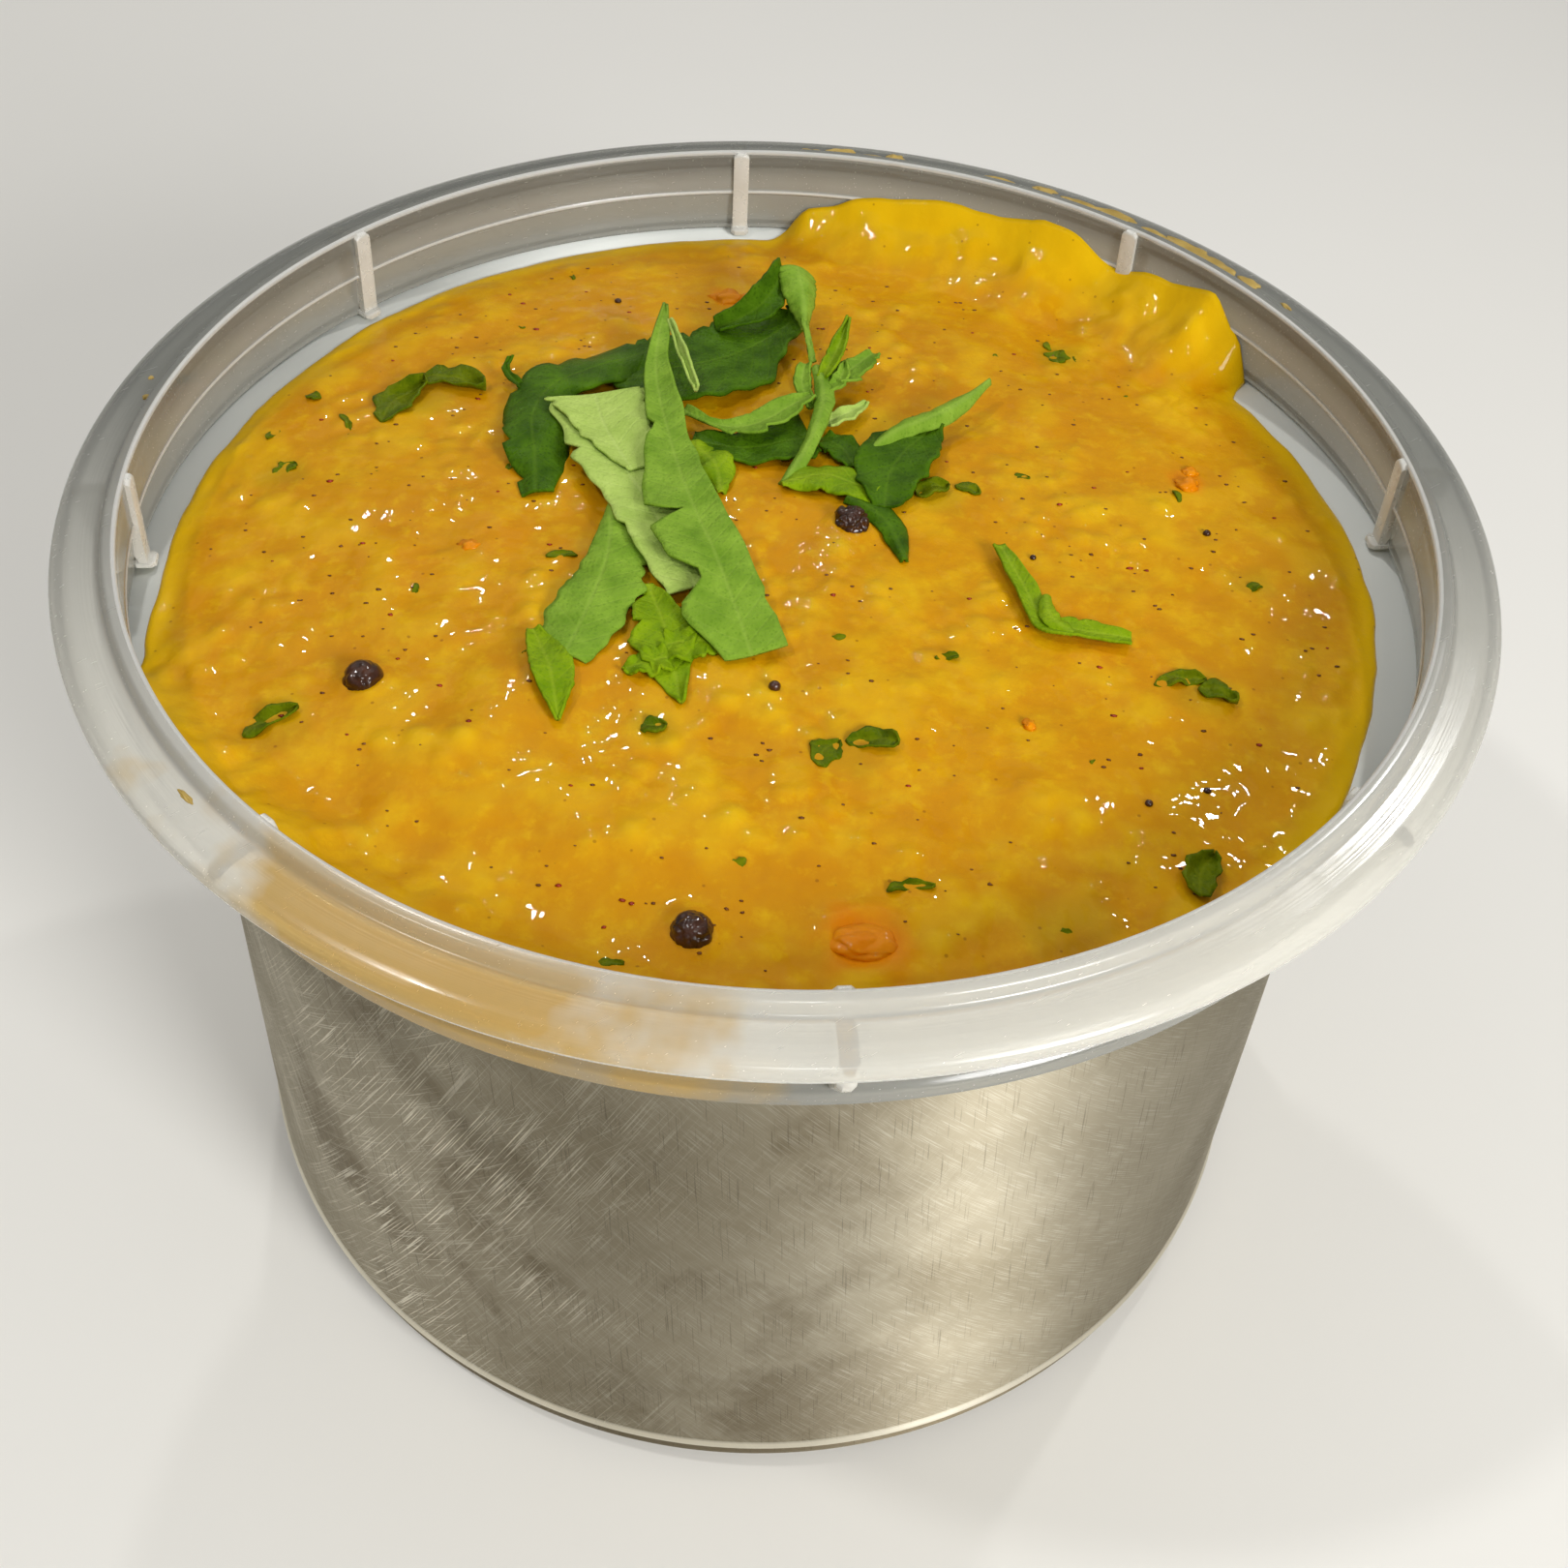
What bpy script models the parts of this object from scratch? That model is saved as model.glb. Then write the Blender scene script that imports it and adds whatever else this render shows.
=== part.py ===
# Dal tadka in a straight-sided steel bowl with a clear snap-on rim.
# +Z is up, and the origin is the middle of the bowl's flat underside.
# Sizes are written in millimetres, and MM turns them into metres.

import math

import bmesh
import bpy
from mathutils import Vector

MM = 0.001
WELD = 0.00001
TURN_STEPS = 60

# Steel bowl
BOWL_HEIGHT = 95.0
STEEL = 0.6
WALL_RADIUS = 63.7
BASE_CORNER = 3.0
FLANGE_TOP = 82.8
FLANGE_RADIUS = 69.6
FLANGE_FILLET = 2.6

# Clear rim, its eight ribs and its eight fingers on the flange
COLLAR_INNER = 68.2
COLLAR_OUTER = 75.0
COLLAR_FOOT = 70.5
LAND_WIDTH = 1.2
LAND_EDGE = 0.15
LIP_DROP = 1.2
SHOULDER_RADIUS = 73.3
SKIRT_DROP = 3.4
COLLAR_WALL = 69.6
COLLAR_GRIP = 1.1
STEP_DROP = 6.0
RIB_COUNT = 8
RIB_ANGLE = 6.3
RIB_WIDTH = 2.2
FINGER_REACH = 66.8
FINGER_HEIGHT = 0.8

# Dal
GAP = 0.3
EDGE_HEIGHT = 83.0
DOME = 2.9
BLUNT_EDGE = 0.35
MENISCUS = 4.5
BEND = FLANGE_FILLET + STEEL + GAP
QUARTER = BEND * math.pi / 2
CLIMB_START = 7.85
RIM_LEAN = 0.11
SURFACE_RINGS = (0.15, 0.3, 0.45, 0.6, 0.73, 0.84, 0.92, 0.965)

# How far the dal creeps up past the bowl's straight wall, by azimuth in degrees:
# up to 5.5 it is on the flange's curve, up to 7.85 on the flat, then up the clear rim.
CREEP = (
    (0, 4.4), (32, 4.6), (36, 13.5), (40, 17.0), (46, 15.4), (52, 13.8), (59, 16.4),
    (70, 15.4), (82, 14.3), (88, 12.2), (93, 5.6), (185, 5.3), (198, 6.6), (206, 10.2),
    (216, 12.8), (228, 14.8), (245, 15.2), (262, 13.8), (276, 12.8), (288, 10.8),
    (300, 8.5), (312, 6.4), (325, 4.6), (344, 4.0), (360, 4.4),
)

# Lumps in the surface: centre x and y, half length, half width, direction and height
LUMPS = (
    (-27.0, -29.5, 12.0, 4.5, 51, 1.0),
    (1.0, 4.5, 9.0, 3.5, 0, 0.7),
    (30.0, 28.0, 16.0, 7.0, 150, 0.5),
    (22.0, -34.0, 15.0, 7.0, 20, 0.5),
    (-42.0, 6.0, 7.0, 14.0, 100, 0.5),
    (-14.0, -46.0, 10.0, 5.0, 170, 0.5),
)

# Leaves: spine points (x, y, lift), half widths along the spine, roll in degrees along it
LEAF_THICKNESS = 0.5
LEAF_CLEARANCE = 0.9
LEAF_STEPS = 7
LEAF_STRIPS = 2
LEAVES = {
    "leaf_dark_back": dict(
        spine=((-20.0, 26.5, 0), (-13.5, 29.5, 0), (-7.5, 32.0, 0), (-3.0, 37.5, 0.5), (-0.5, 42.5, 2.2)),
        half=(3.0, 6.8, 8.0, 5.6, 3.2), roll=(0, 0, 0, 12, 30), colour=(0.035, 0.12, 0.012)),
    "leaf_dark_left": dict(
        spine=((-27.0, 5.0, 0), (-28.4, 12.5, 0.8), (-28.6, 20.0, 1.4), (-24.0, 27.5, 1.3),
               (-17.0, 32.8, 1.2)),
        half=(2.0, 3.4, 3.6, 3.6, 2.6), roll=(0, 0, 0, 0, 0), colour=(0.03, 0.10, 0.012)),
    "leaf_twisted": dict(
        spine=((0.6, 45.4, 5.6), (1.2, 41.0, 4.0), (2.4, 35.0, 2.4), (3.2, 29.6, 2.2)),
        half=(2.6, 2.2, 0.8, 0.6), roll=(10, 25, 0, 0), colour=(0.13, 0.27, 0.05)),
    "leaf_under": dict(
        spine=((-9.5, 13.2, 0), (-2.0, 12.6, 0), (6.6, 14.4, 0)),
        half=(2.6, 2.8, 1.6), roll=(0, 0, 0), colour=(0.02, 0.07, 0.008)),
    "leaf_yellow": dict(
        spine=((-10.6, 14.6, 1.1), (-8.0, 10.4, 1.1), (-5.8, 5.4, 0.6)),
        half=(1.5, 2.6, 0.9), roll=(0, 0, 0), colour=(0.22, 0.36, 0.02)),
    "leaf_curved": dict(
        spine=((-12.0, 20.8, 1.1), (-7.4, 18.6, 1.1), (-3.0, 18.2, 1.2), (0.3, 21.2, 1.6), (2.2, 24.4, 1.6)),
        half=(0.9, 1.2, 2.3, 1.9, 0.7), roll=(0, 0, 0, 0, 0), colour=(0.12, 0.28, 0.04)),
    "leaf_lower_left": dict(
        spine=((-18.0, 3.2, 1.1), (-17.8, -4.8, 1.1), (-18.0, -12.0, 1.1), (-20.6, -21.4, 1.1)),
        half=(0.8, 2.8, 3.8, 3.2), roll=(0, 0, 0, 0), colour=(0.06, 0.20, 0.03)),
    "leaf_tip": dict(
        spine=((-24.2, -18.2, 0), (-21.9, -23.8, 0), (-20.3, -30.8, 0)),
        half=(0.9, 1.9, 0.4), roll=(0, 0, 0), colour=(0.10, 0.30, 0.02)),
    "leaf_curly": dict(
        spine=((-13.2, -9.5, 0), (-11.8, -15.0, 0), (-10.6, -20.6, 0), (-9.0, -27.6, 0)),
        half=(1.2, 2.4, 4.6, 0.5), roll=(0, 0, 0, 0), colour=(0.05, 0.17, 0.01)),
    "leaf_pale": dict(
        spine=((-19.6, 20.4, 2.2), (-17.4, 9.0, 2.2), (-13.0, -3.0, 2.2), (-8.4, -12.8, 2.2)),
        half=(6.2, 4.7, 4.2, 2.4), roll=(0, 0, 0, 0), colour=(0.30, 0.45, 0.16)),
    "leaf_long": dict(
        spine=((-15.2, 38.4, 4.2), (-14.9, 25.0, 3.6), (-12.8, 12.0, 3.4), (-9.6, -3.0, 3.4),
               (-5.4, -13.5, 2.6), (-2.0, -22.6, 0.4)),
        half=(0.4, 1.9, 2.6, 3.9, 4.3, 4.4), roll=(0, 0, 0, 0, 0, 0), colour=(0.14, 0.30, 0.06)),
    "leaf_stem": dict(
        spine=((0.3, 5.6, 1.3), (2.2, 11.4, 2.4), (3.6, 18.0, 3.4), (4.2, 23.2, 3.6), (4.0, 27.4, 3.6)),
        half=(0.7, 1.0, 0.9, 1.6, 1.3), roll=(0, 0, 0, 0, 0), colour=(0.10, 0.22, 0.03)),
    "leaf_fork_tall": dict(
        spine=((5.0, 29.6, 3.4), (6.4, 32.6, 3.8), (7.4, 37.6, 4.6)),
        half=(1.0, 0.9, 0.4), roll=(0, 0, 0), colour=(0.14, 0.32, 0.03)),
    "leaf_fork_right": dict(
        spine=((6.4, 24.6, 1.6), (8.4, 27.4, 1.8), (10.8, 30.0, 2.0)),
        half=(2.0, 2.0, 0.9), roll=(0, 0, 0), colour=(0.16, 0.34, 0.06)),
    "leaf_small": dict(
        spine=((5.8, 17.0, 1.2), (7.6, 18.4, 1.2), (9.6, 20.0, 1.2)),
        half=(1.4, 1.3, 0.4), roll=(0, 0, 0), colour=(0.20, 0.34, 0.14)),
    "leaf_band": dict(
        spine=((2.6, 9.4, 1.1), (5.6, 9.0, 1.1), (9.4, 5.6, 1.1)),
        half=(1.5, 2.1, 2.0), roll=(0, 0, 0), colour=(0.10, 0.26, 0.01)),
    "leaf_right": dict(
        spine=((11.4, 8.6, 2.2), (14.2, 13.4, 1.6), (18.2, 20.0, 2.0), (24.0, 27.4, 3.0)),
        half=(2.8, 3.8, 2.0, 0.6), roll=(0, 0, 0, 0), colour=(0.03, 0.11, 0.01)),
    "leaf_right_lower": dict(
        spine=((10.2, 4.8, 0), (12.4, 2.2, 0), (13.7, -3.2, 0)),
        half=(1.3, 1.9, 0.5), roll=(0, 0, 0), colour=(0.09, 0.20, 0.06)),
    "leaf_strip": dict(
        spine=((24.4, 0.4, 0), (26.2, -4.4, 0), (28.6, -10.2, 0), (32.6, -12.2, 0), (37.0, -14.4, 0)),
        half=(1.0, 1.6, 1.9, 1.3, 0.6), roll=(0, 0, 0, 0, 0), colour=(0.16, 0.36, 0.04)),
}

# Berries and bits that float: x, y, half sizes, how far the middle stands above the dal
FLOATING = {
    "peppercorn_back": dict(x=8.0, y=1.8, size=(1.9, 1.8, 1.8), rise=0.6, colour=(0.012, 0.010, 0.008)),
    "peppercorn_front": dict(x=-5.6, y=-54.6, size=(2.0, 1.9, 1.8), rise=0.5, colour=(0.07, 0.02, 0.006)),
    "peppercorn_left": dict(x=-40.6, y=-25.1, size=(2.0, 1.9, 1.8), rise=0.4, colour=(0.05, 0.02, 0.006)),
    "tomato_piece": dict(x=9.9, y=-54.1, size=(3.8, 2.2, 1.3), rise=0.0, colour=(0.50, 0.09, 0.01)),
}


def smooth_path(points, along):
    """Point at a share of the way along a smooth curve through the given points."""
    spans = len(points) - 1
    place = min(max(along, 0.0), 1.0) * spans
    first = min(int(place), spans - 1)
    share = place - first
    a, b, c, d = (Vector(points[min(max(first + step, 0), spans)]) for step in (-1, 0, 1, 2))
    return 0.5 * (2 * b + (c - a) * share + (2 * a - 5 * b + 4 * c - d) * share ** 2
                  + (3 * b - a - 3 * c + d) * share ** 3)


def smooth_value(values, along):
    return smooth_path([(value, 0.0) for value in values], along).x


def arc(centre, radius, start, end, steps):
    """Points on an arc, with angles in degrees from +X towards +Z."""
    angles = [math.radians(start + (end - start) * step / steps) for step in range(steps + 1)]
    return [(centre[0] + radius * math.cos(a), centre[1] + radius * math.sin(a)) for a in angles]


def creep_at(azimuth):
    """Distance the dal has crept past the straight wall at an azimuth in degrees."""
    azimuth = azimuth % 360
    for (low, before), (high, after) in zip(CREEP, CREEP[1:]):
        if azimuth <= high:
            return before + (after - before) * (azimuth - low) / (high - low)
    return CREEP[-1][1]


def contact_point(creep):
    """Radius and height on the steel and the clear rim, a gap inside them."""
    centre = (WALL_RADIUS - STEEL - GAP + BEND, FLANGE_TOP + GAP - BEND)
    if creep <= QUARTER:
        angle = creep / BEND
        return centre[0] - BEND * math.cos(angle), centre[1] + BEND * math.sin(angle)
    if creep <= CLIMB_START:
        return centre[0] + creep - QUARTER, centre[1] + BEND
    climb = creep - CLIMB_START
    return centre[0] + CLIMB_START - QUARTER - RIM_LEAN * climb, centre[1] + BEND + climb


def contact_line(creep):
    """Points down the steel from the edge of the dal to the top of the straight wall."""
    curve = [contact_point(min(creep, QUARTER) * share) for share in (1.0, 0.75, 0.5, 0.25, 0.0)]
    if creep > QUARTER:
        flat = min(CLIMB_START, (creep + QUARTER) / 2)
        return [contact_point(creep), contact_point(flat)] + curve
    radius, height = curve[0]
    blunt = [(radius - BLUNT_EDGE * share, height + BLUNT_EDGE * share) for share in (0.6, 0.3)]
    return blunt + curve


def dal_height(x, y):
    """Height of the dal's open surface, without its creep at the edge."""
    radius = math.hypot(x, y)
    height = EDGE_HEIGHT + DOME * (1 - (radius / FLANGE_RADIUS) ** 2)
    for centre_x, centre_y, length, width, turn, rise in LUMPS:
        cos, sin = math.cos(math.radians(turn)), math.sin(math.radians(turn))
        along = ((x - centre_x) * cos + (y - centre_y) * sin) / length
        across = ((y - centre_y) * cos - (x - centre_x) * sin) / width
        height += rise * math.exp(-(along ** 2 + across ** 2))
    return height


def clear_scene():
    for obj in list(bpy.data.objects):
        bpy.data.objects.remove(obj, do_unlink=True)


def make_collection(name):
    collection = bpy.data.collections.new(name)
    bpy.context.scene.collection.children.link(collection)
    return collection


def make_material(name, colour, roughness, metallic=0.0, alpha=1.0):
    material = bpy.data.materials.new(name)
    material.use_nodes = True
    shader = material.node_tree.nodes["Principled BSDF"]
    shader.inputs["Base Color"].default_value = (*colour, 1.0)
    shader.inputs["Roughness"].default_value = roughness
    shader.inputs["Metallic"].default_value = metallic
    shader.inputs["Alpha"].default_value = alpha
    return material


def add_object(name, mesh, collection, material=None):
    obj = bpy.data.objects.new(name, mesh)
    collection.objects.link(obj)
    if material:
        mesh.materials.append(material)
    return obj


def mesh_from(bm, name):
    mesh = bpy.data.meshes.new(name)
    bm.to_mesh(mesh)
    bm.free()
    return mesh


def smooth_shading(mesh, sharp_angle):
    mesh.shade_smooth()
    mesh.set_sharp_from_angle(angle=math.radians(sharp_angle))


def turned_object(name, profile, closed, collection, material):
    """Profile of (radius, height) points turned about Z; it runs down its outer side."""
    mesh = bpy.data.meshes.new(name)
    edges = [(i, i + 1) for i in range(len(profile) - 1)]
    if closed:
        edges.append((len(profile) - 1, 0))
    mesh.from_pydata([(r * MM, 0.0, z * MM) for r, z in profile], edges, [])
    obj = add_object(name, mesh, collection, material)
    screw = obj.modifiers.new("Turn", "SCREW")
    screw.axis = "Z"
    screw.steps = TURN_STEPS
    screw.render_steps = TURN_STEPS
    screw.use_merge_vertices = True
    screw.merge_threshold = WELD
    screw.use_smooth_shade = True
    return obj


def plate_mesh(name, outline, thickness):
    """Flat plate in the XZ plane, its outline given as (x, z) in millimetres."""
    curve = bpy.data.curves.new(name, "CURVE")
    curve.dimensions = "2D"
    curve.fill_mode = "BOTH"
    curve.extrude = thickness / 2 * MM
    spline = curve.splines.new("POLY")
    spline.points.add(len(outline) - 1)
    for point, (x, z) in zip(spline.points, outline):
        point.co = (x * MM, z * MM, 0.0, 1.0)
    spline.use_cyclic_u = True
    guide = bpy.data.objects.new(name, curve)
    bpy.context.scene.collection.objects.link(guide)
    bpy.context.view_layer.update()
    mesh = bpy.data.meshes.new_from_object(guide.evaluated_get(bpy.context.evaluated_depsgraph_get()))
    bpy.data.objects.remove(guide, do_unlink=True)
    bm = bmesh.new()
    bm.from_mesh(mesh)
    bmesh.ops.remove_doubles(bm, verts=bm.verts, dist=WELD)
    for vert in bm.verts:
        vert.co = (vert.co.x, -vert.co.z, vert.co.y)
    bmesh.ops.recalc_face_normals(bm, faces=bm.faces)
    bm.to_mesh(mesh)
    bm.free()
    return mesh


def spread_round(name, mesh, collection):
    """One object that holds the mesh at each of the rim's ribs."""
    bm = bmesh.new()
    for index in range(RIB_COUNT):
        before = set(bm.verts)
        bm.from_mesh(mesh)
        added = [vert for vert in bm.verts if vert not in before]
        angle = math.radians(RIB_ANGLE + index * 360 / RIB_COUNT)
        for vert in added:
            x, y = vert.co.x, vert.co.y
            vert.co.x = x * math.cos(angle) - y * math.sin(angle)
            vert.co.y = x * math.sin(angle) + y * math.cos(angle)
    obj = add_object(name, mesh_from(bm, name), collection)
    hide_guide(obj)
    return obj


def hide_guide(obj):
    obj.hide_render = True
    obj.display_type = "WIRE"


def add_boolean(obj, cutter, operation):
    boolean = obj.modifiers.new(operation.title(), "BOOLEAN")
    boolean.operation = operation
    boolean.object = cutter
    boolean.solver = "EXACT"


def make_steel_bowl(parts):
    bend_centre = (WALL_RADIUS + FLANGE_FILLET, FLANGE_TOP - STEEL - FLANGE_FILLET)
    corner_centre = (WALL_RADIUS - BASE_CORNER, BASE_CORNER)
    profile = [(FLANGE_RADIUS, FLANGE_TOP - STEEL)]
    profile += arc(bend_centre, FLANGE_FILLET, 90, 180, 3)
    profile += arc(corner_centre, BASE_CORNER, 0, -90, 3)
    profile += [(0.0, 0.0)]
    material = make_material("steel", (0.42, 0.38, 0.33), 0.28, metallic=1.0)
    bowl = turned_object("steel_bowl", profile, False, parts, material)
    shell = bowl.modifiers.new("Sheet", "SOLIDIFY")
    shell.thickness = STEEL * MM
    shell.offset = -1.0
    shell.use_even_offset = True
    return bowl


def collar_profile():
    """Section of the clear rim: land, lip, shoulder, skirt, wall and the foot that grips the flange."""
    top = BOWL_HEIGHT
    land_outer = COLLAR_INNER + LAND_EDGE + LAND_WIDTH
    lip = top - LIP_DROP
    skirt = top - SKIRT_DROP
    seat = FLANGE_TOP + GAP
    foot = seat - COLLAR_GRIP
    grip = FLANGE_RADIUS + GAP
    outside = [
        (COLLAR_INNER + LAND_EDGE, top), (land_outer - LAND_EDGE, top), (land_outer, top - LAND_EDGE),
        (land_outer + 0.5, lip), (SHOULDER_RADIUS, lip), (SHOULDER_RADIUS + 1.0, lip - 0.6),
        (COLLAR_OUTER, skirt),
    ]
    under_skirt = [
        (COLLAR_OUTER - 0.9, skirt - 0.2), (SHOULDER_RADIUS + 0.1, lip - 1.4),
        (COLLAR_WALL + 0.8, lip - 1.2), (COLLAR_WALL, lip - 1.8),
    ]
    wall_and_foot = [
        (COLLAR_WALL + 0.1, seat + 1.1), (COLLAR_FOOT, seat + 0.3), (COLLAR_FOOT, foot),
        (grip, foot), (grip, seat), (COLLAR_INNER + 0.8, seat),
    ]
    inside = [(COLLAR_INNER + 0.1, top - STEP_DROP), (COLLAR_INNER, top - LAND_EDGE)]
    return outside + under_skirt + wall_and_foot + inside


def rib_outline():
    """Plate under the lip: a bar level with the land, then the web behind the skirt down to the foot."""
    top = BOWL_HEIGHT - 0.05
    foot = FLANGE_TOP + 1.0
    root = COLLAR_WALL - 0.4
    web = SHOULDER_RADIUS + 0.6
    return [
        (root, top), (root + 2.0, top), (root + 2.5, top - 0.45), (root + 2.6, top - 1.75),
        (web, top - 1.95), (web, top - 6.2), (web - 0.9, top - 6.8), (root + 1.0, foot), (root, foot),
    ]


def finger_outline(grow):
    """Bar on the flange; grow makes the space that the dal leaves round it."""
    low = FLANGE_TOP + GAP - grow
    high = FLANGE_TOP + GAP + FINGER_HEIGHT + grow
    root = COLLAR_WALL - 0.3
    tip = FINGER_REACH - grow
    return [(tip, low), (tip, high), (root, high), (root, low)]


def make_rim_collar(parts, cutters):
    material = make_material("clear_rim", (0.80, 0.82, 0.80), 0.15, alpha=0.5)
    collar = turned_object("rim_collar", collar_profile(), True, parts, material)
    ribs = spread_round("rib_guides", plate_mesh("rib_plate", rib_outline(), RIB_WIDTH), cutters)
    fingers = spread_round("finger_guides", plate_mesh("finger_plate", finger_outline(0), RIB_WIDTH), cutters)
    add_boolean(collar, ribs, "UNION")
    add_boolean(collar, fingers, "UNION")
    return collar


def dal_section(azimuth):
    """Points (radius, height) of the dal at an azimuth, from the surface to the bowl's corner."""
    creep = creep_at(azimuth)
    edge_radius, edge_height = contact_point(creep)
    angle = math.radians(azimuth)
    top_height = edge_height + BLUNT_EDGE
    inner_edge = edge_radius - BLUNT_EDGE
    plain = dal_height(inner_edge * math.cos(angle), inner_edge * math.sin(angle))
    section = []
    for share in SURFACE_RINGS + (1.0,):
        radius = inner_edge * share
        height = dal_height(radius * math.cos(angle), radius * math.sin(angle))
        nearness = max(0.0, 1.0 - (inner_edge - radius) / MENISCUS)
        section.append((radius, height + (top_height - plain) * nearness ** 2))
    section += contact_line(creep)
    inner = WALL_RADIUS - STEEL - GAP
    corner = BASE_CORNER - STEEL
    section += arc((inner - corner, STEEL + GAP + corner), corner, 0, -90, 3)
    return section


def make_dal(parts, cutters):
    sections = [dal_section(step * 360 / TURN_STEPS) for step in range(TURN_STEPS)]
    bm = bmesh.new()
    rows = []
    for step, section in enumerate(sections):
        angle = math.radians(step * 360 / TURN_STEPS)
        rows.append([bm.verts.new((r * math.cos(angle) * MM, r * math.sin(angle) * MM, z * MM))
                     for r, z in section])
    crown = bm.verts.new((0.0, 0.0, dal_height(0.0, 0.0) * MM))
    foot = bm.verts.new((0.0, 0.0, (STEEL + GAP) * MM))
    for step, row in enumerate(rows):
        following = rows[(step + 1) % TURN_STEPS]
        bm.faces.new((crown, row[0], following[0]))
        for ring in range(len(row) - 1):
            bm.faces.new((row[ring], row[ring + 1], following[ring + 1], following[ring]))
        bm.faces.new((row[-1], foot, following[-1]))
    mesh = mesh_from(bm, "dal")
    smooth_shading(mesh, 50)
    dal = add_object("dal", mesh, parts, make_material("dal", (0.68, 0.34, 0.006), 0.3))
    space = plate_mesh("finger_space", finger_outline(GAP), RIB_WIDTH + 2 * GAP)
    add_boolean(dal, spread_round("finger_spaces", space, cutters), "DIFFERENCE")
    for name, spec in FLOATING.items():
        hollow = add_object(name + "_space", round_mesh(name + "_space", spec, GAP), cutters)
        hide_guide(hollow)
        add_boolean(dal, hollow, "DIFFERENCE")
    return dal


def round_mesh(name, spec, grow):
    """Flattened ball at its place in the dal, larger by grow on every side."""
    bm = bmesh.new()
    bmesh.ops.create_uvsphere(bm, u_segments=10, v_segments=6, radius=1.0)
    height = dal_height(spec["x"], spec["y"]) + spec["rise"]
    for vert in bm.verts:
        x, y, z = (part * (size + grow) for part, size in zip(vert.co, spec["size"]))
        vert.co = ((spec["x"] + x) * MM, (spec["y"] + y) * MM, (height + z) * MM)
    mesh = mesh_from(bm, name)
    mesh.shade_smooth()
    return mesh


def make_floating(parts):
    for name, spec in FLOATING.items():
        add_object(name, round_mesh(name, spec, 0.0), parts, make_material(name, spec["colour"], 0.4))


def leaf_point(spec, along, across):
    """Point of a leaf's middle surface; across runs from -1 at one edge to 1 at the other."""
    spine = smooth_path(spec["spine"], along)
    nudge = 0.02
    ahead = smooth_path(spec["spine"], along + nudge) - smooth_path(spec["spine"], along - nudge)
    side = Vector((-ahead.y, ahead.x)).normalized()
    half = smooth_value(spec["half"], along)
    roll = math.radians(smooth_value(spec["roll"], along))
    x = spine.x + side.x * half * across * math.cos(roll)
    y = spine.y + side.y * half * across * math.cos(roll)
    tilt = half * (across * math.sin(roll) + abs(math.sin(roll)))
    return Vector((x, y, dal_height(x, y) + LEAF_CLEARANCE + spine.z + tilt))


def make_leaf(name, spec, parts):
    bm = bmesh.new()
    bmesh.ops.create_grid(bm, x_segments=LEAF_STEPS, y_segments=LEAF_STRIPS, size=0.5)
    for vert in bm.verts:
        vert.co = leaf_point(spec, vert.co.x + 0.5, vert.co.y * 2) * MM
    mesh = mesh_from(bm, name)
    leaf = add_object(name, mesh, parts, make_material(name, spec["colour"], 0.45))
    blade = leaf.modifiers.new("Blade", "SOLIDIFY")
    blade.thickness = LEAF_THICKNESS * MM
    blade.offset = 0.0
    mesh.shade_smooth()
    return leaf


def main():
    clear_scene()
    parts = make_collection("dal_tadka")
    cutters = make_collection("cutters")
    make_steel_bowl(parts)
    make_rim_collar(parts, cutters)
    make_dal(parts, cutters)
    make_floating(parts)
    for name, spec in LEAVES.items():
        make_leaf(name, spec, parts)


main()
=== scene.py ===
# Looks of the dal tadka: a steel bowl, its clear snap-on rim, the dal and its chopped coriander.
# Shapes are worked out in millimetres, and mm turns them into metres.

import math
import random

import bmesh
import bpy
from mathutils import Matrix, Vector, noise


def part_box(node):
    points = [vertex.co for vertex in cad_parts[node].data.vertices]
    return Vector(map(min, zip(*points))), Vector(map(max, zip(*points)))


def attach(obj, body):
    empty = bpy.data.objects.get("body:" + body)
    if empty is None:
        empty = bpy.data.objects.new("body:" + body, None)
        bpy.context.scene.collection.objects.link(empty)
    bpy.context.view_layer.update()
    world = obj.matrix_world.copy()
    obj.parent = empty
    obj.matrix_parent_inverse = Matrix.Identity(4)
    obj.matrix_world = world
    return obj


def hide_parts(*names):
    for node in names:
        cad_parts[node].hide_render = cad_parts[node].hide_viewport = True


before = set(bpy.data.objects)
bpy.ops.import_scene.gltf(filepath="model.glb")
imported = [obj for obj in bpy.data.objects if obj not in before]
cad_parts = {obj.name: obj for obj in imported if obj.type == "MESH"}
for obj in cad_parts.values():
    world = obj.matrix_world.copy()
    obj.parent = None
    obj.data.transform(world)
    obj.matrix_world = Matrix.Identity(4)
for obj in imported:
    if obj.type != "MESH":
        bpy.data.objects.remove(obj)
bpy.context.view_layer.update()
mm = 0.001


def boxOf(node):
    low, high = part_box(node)
    return low / mm, high / mm


def middleOf(node):
    low, high = boxOf(node)
    return (low + high) / 2


steelHigh = boxOf("steel_bowl")[1]
rimHigh = boxOf("rim_collar")[1]
flangeRadius = steelHigh.x
flangeTop = steelHigh.z
rimRadius = rimHigh.x
rimTop = rimHigh.z

# What the steel bowl is pressed from
bowl = dict(
    sheet=0.6,
    wallRadius=flangeRadius - 5.9,
    baseCorner=3.0,
    flangeFillet=2.6,
    turnSteps=240,
)


# Small tools for shapes

def smoothAt(points, along):
    # Point at a share of the way along a smooth curve through the points
    spans = len(points) - 1
    place = min(max(along, 0.0), 1.0) * spans
    first = min(int(place), spans - 1)
    share = place - first
    a, b, c, d = (Vector(points[min(max(first + step, 0), spans)]) for step in (-1, 0, 1, 2))
    bend = (2 * a - 5 * b + 4 * c - d) * share ** 2
    return 0.5 * (2 * b + (c - a) * share + bend + (3 * b - a - 3 * c + d) * share ** 3)


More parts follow.
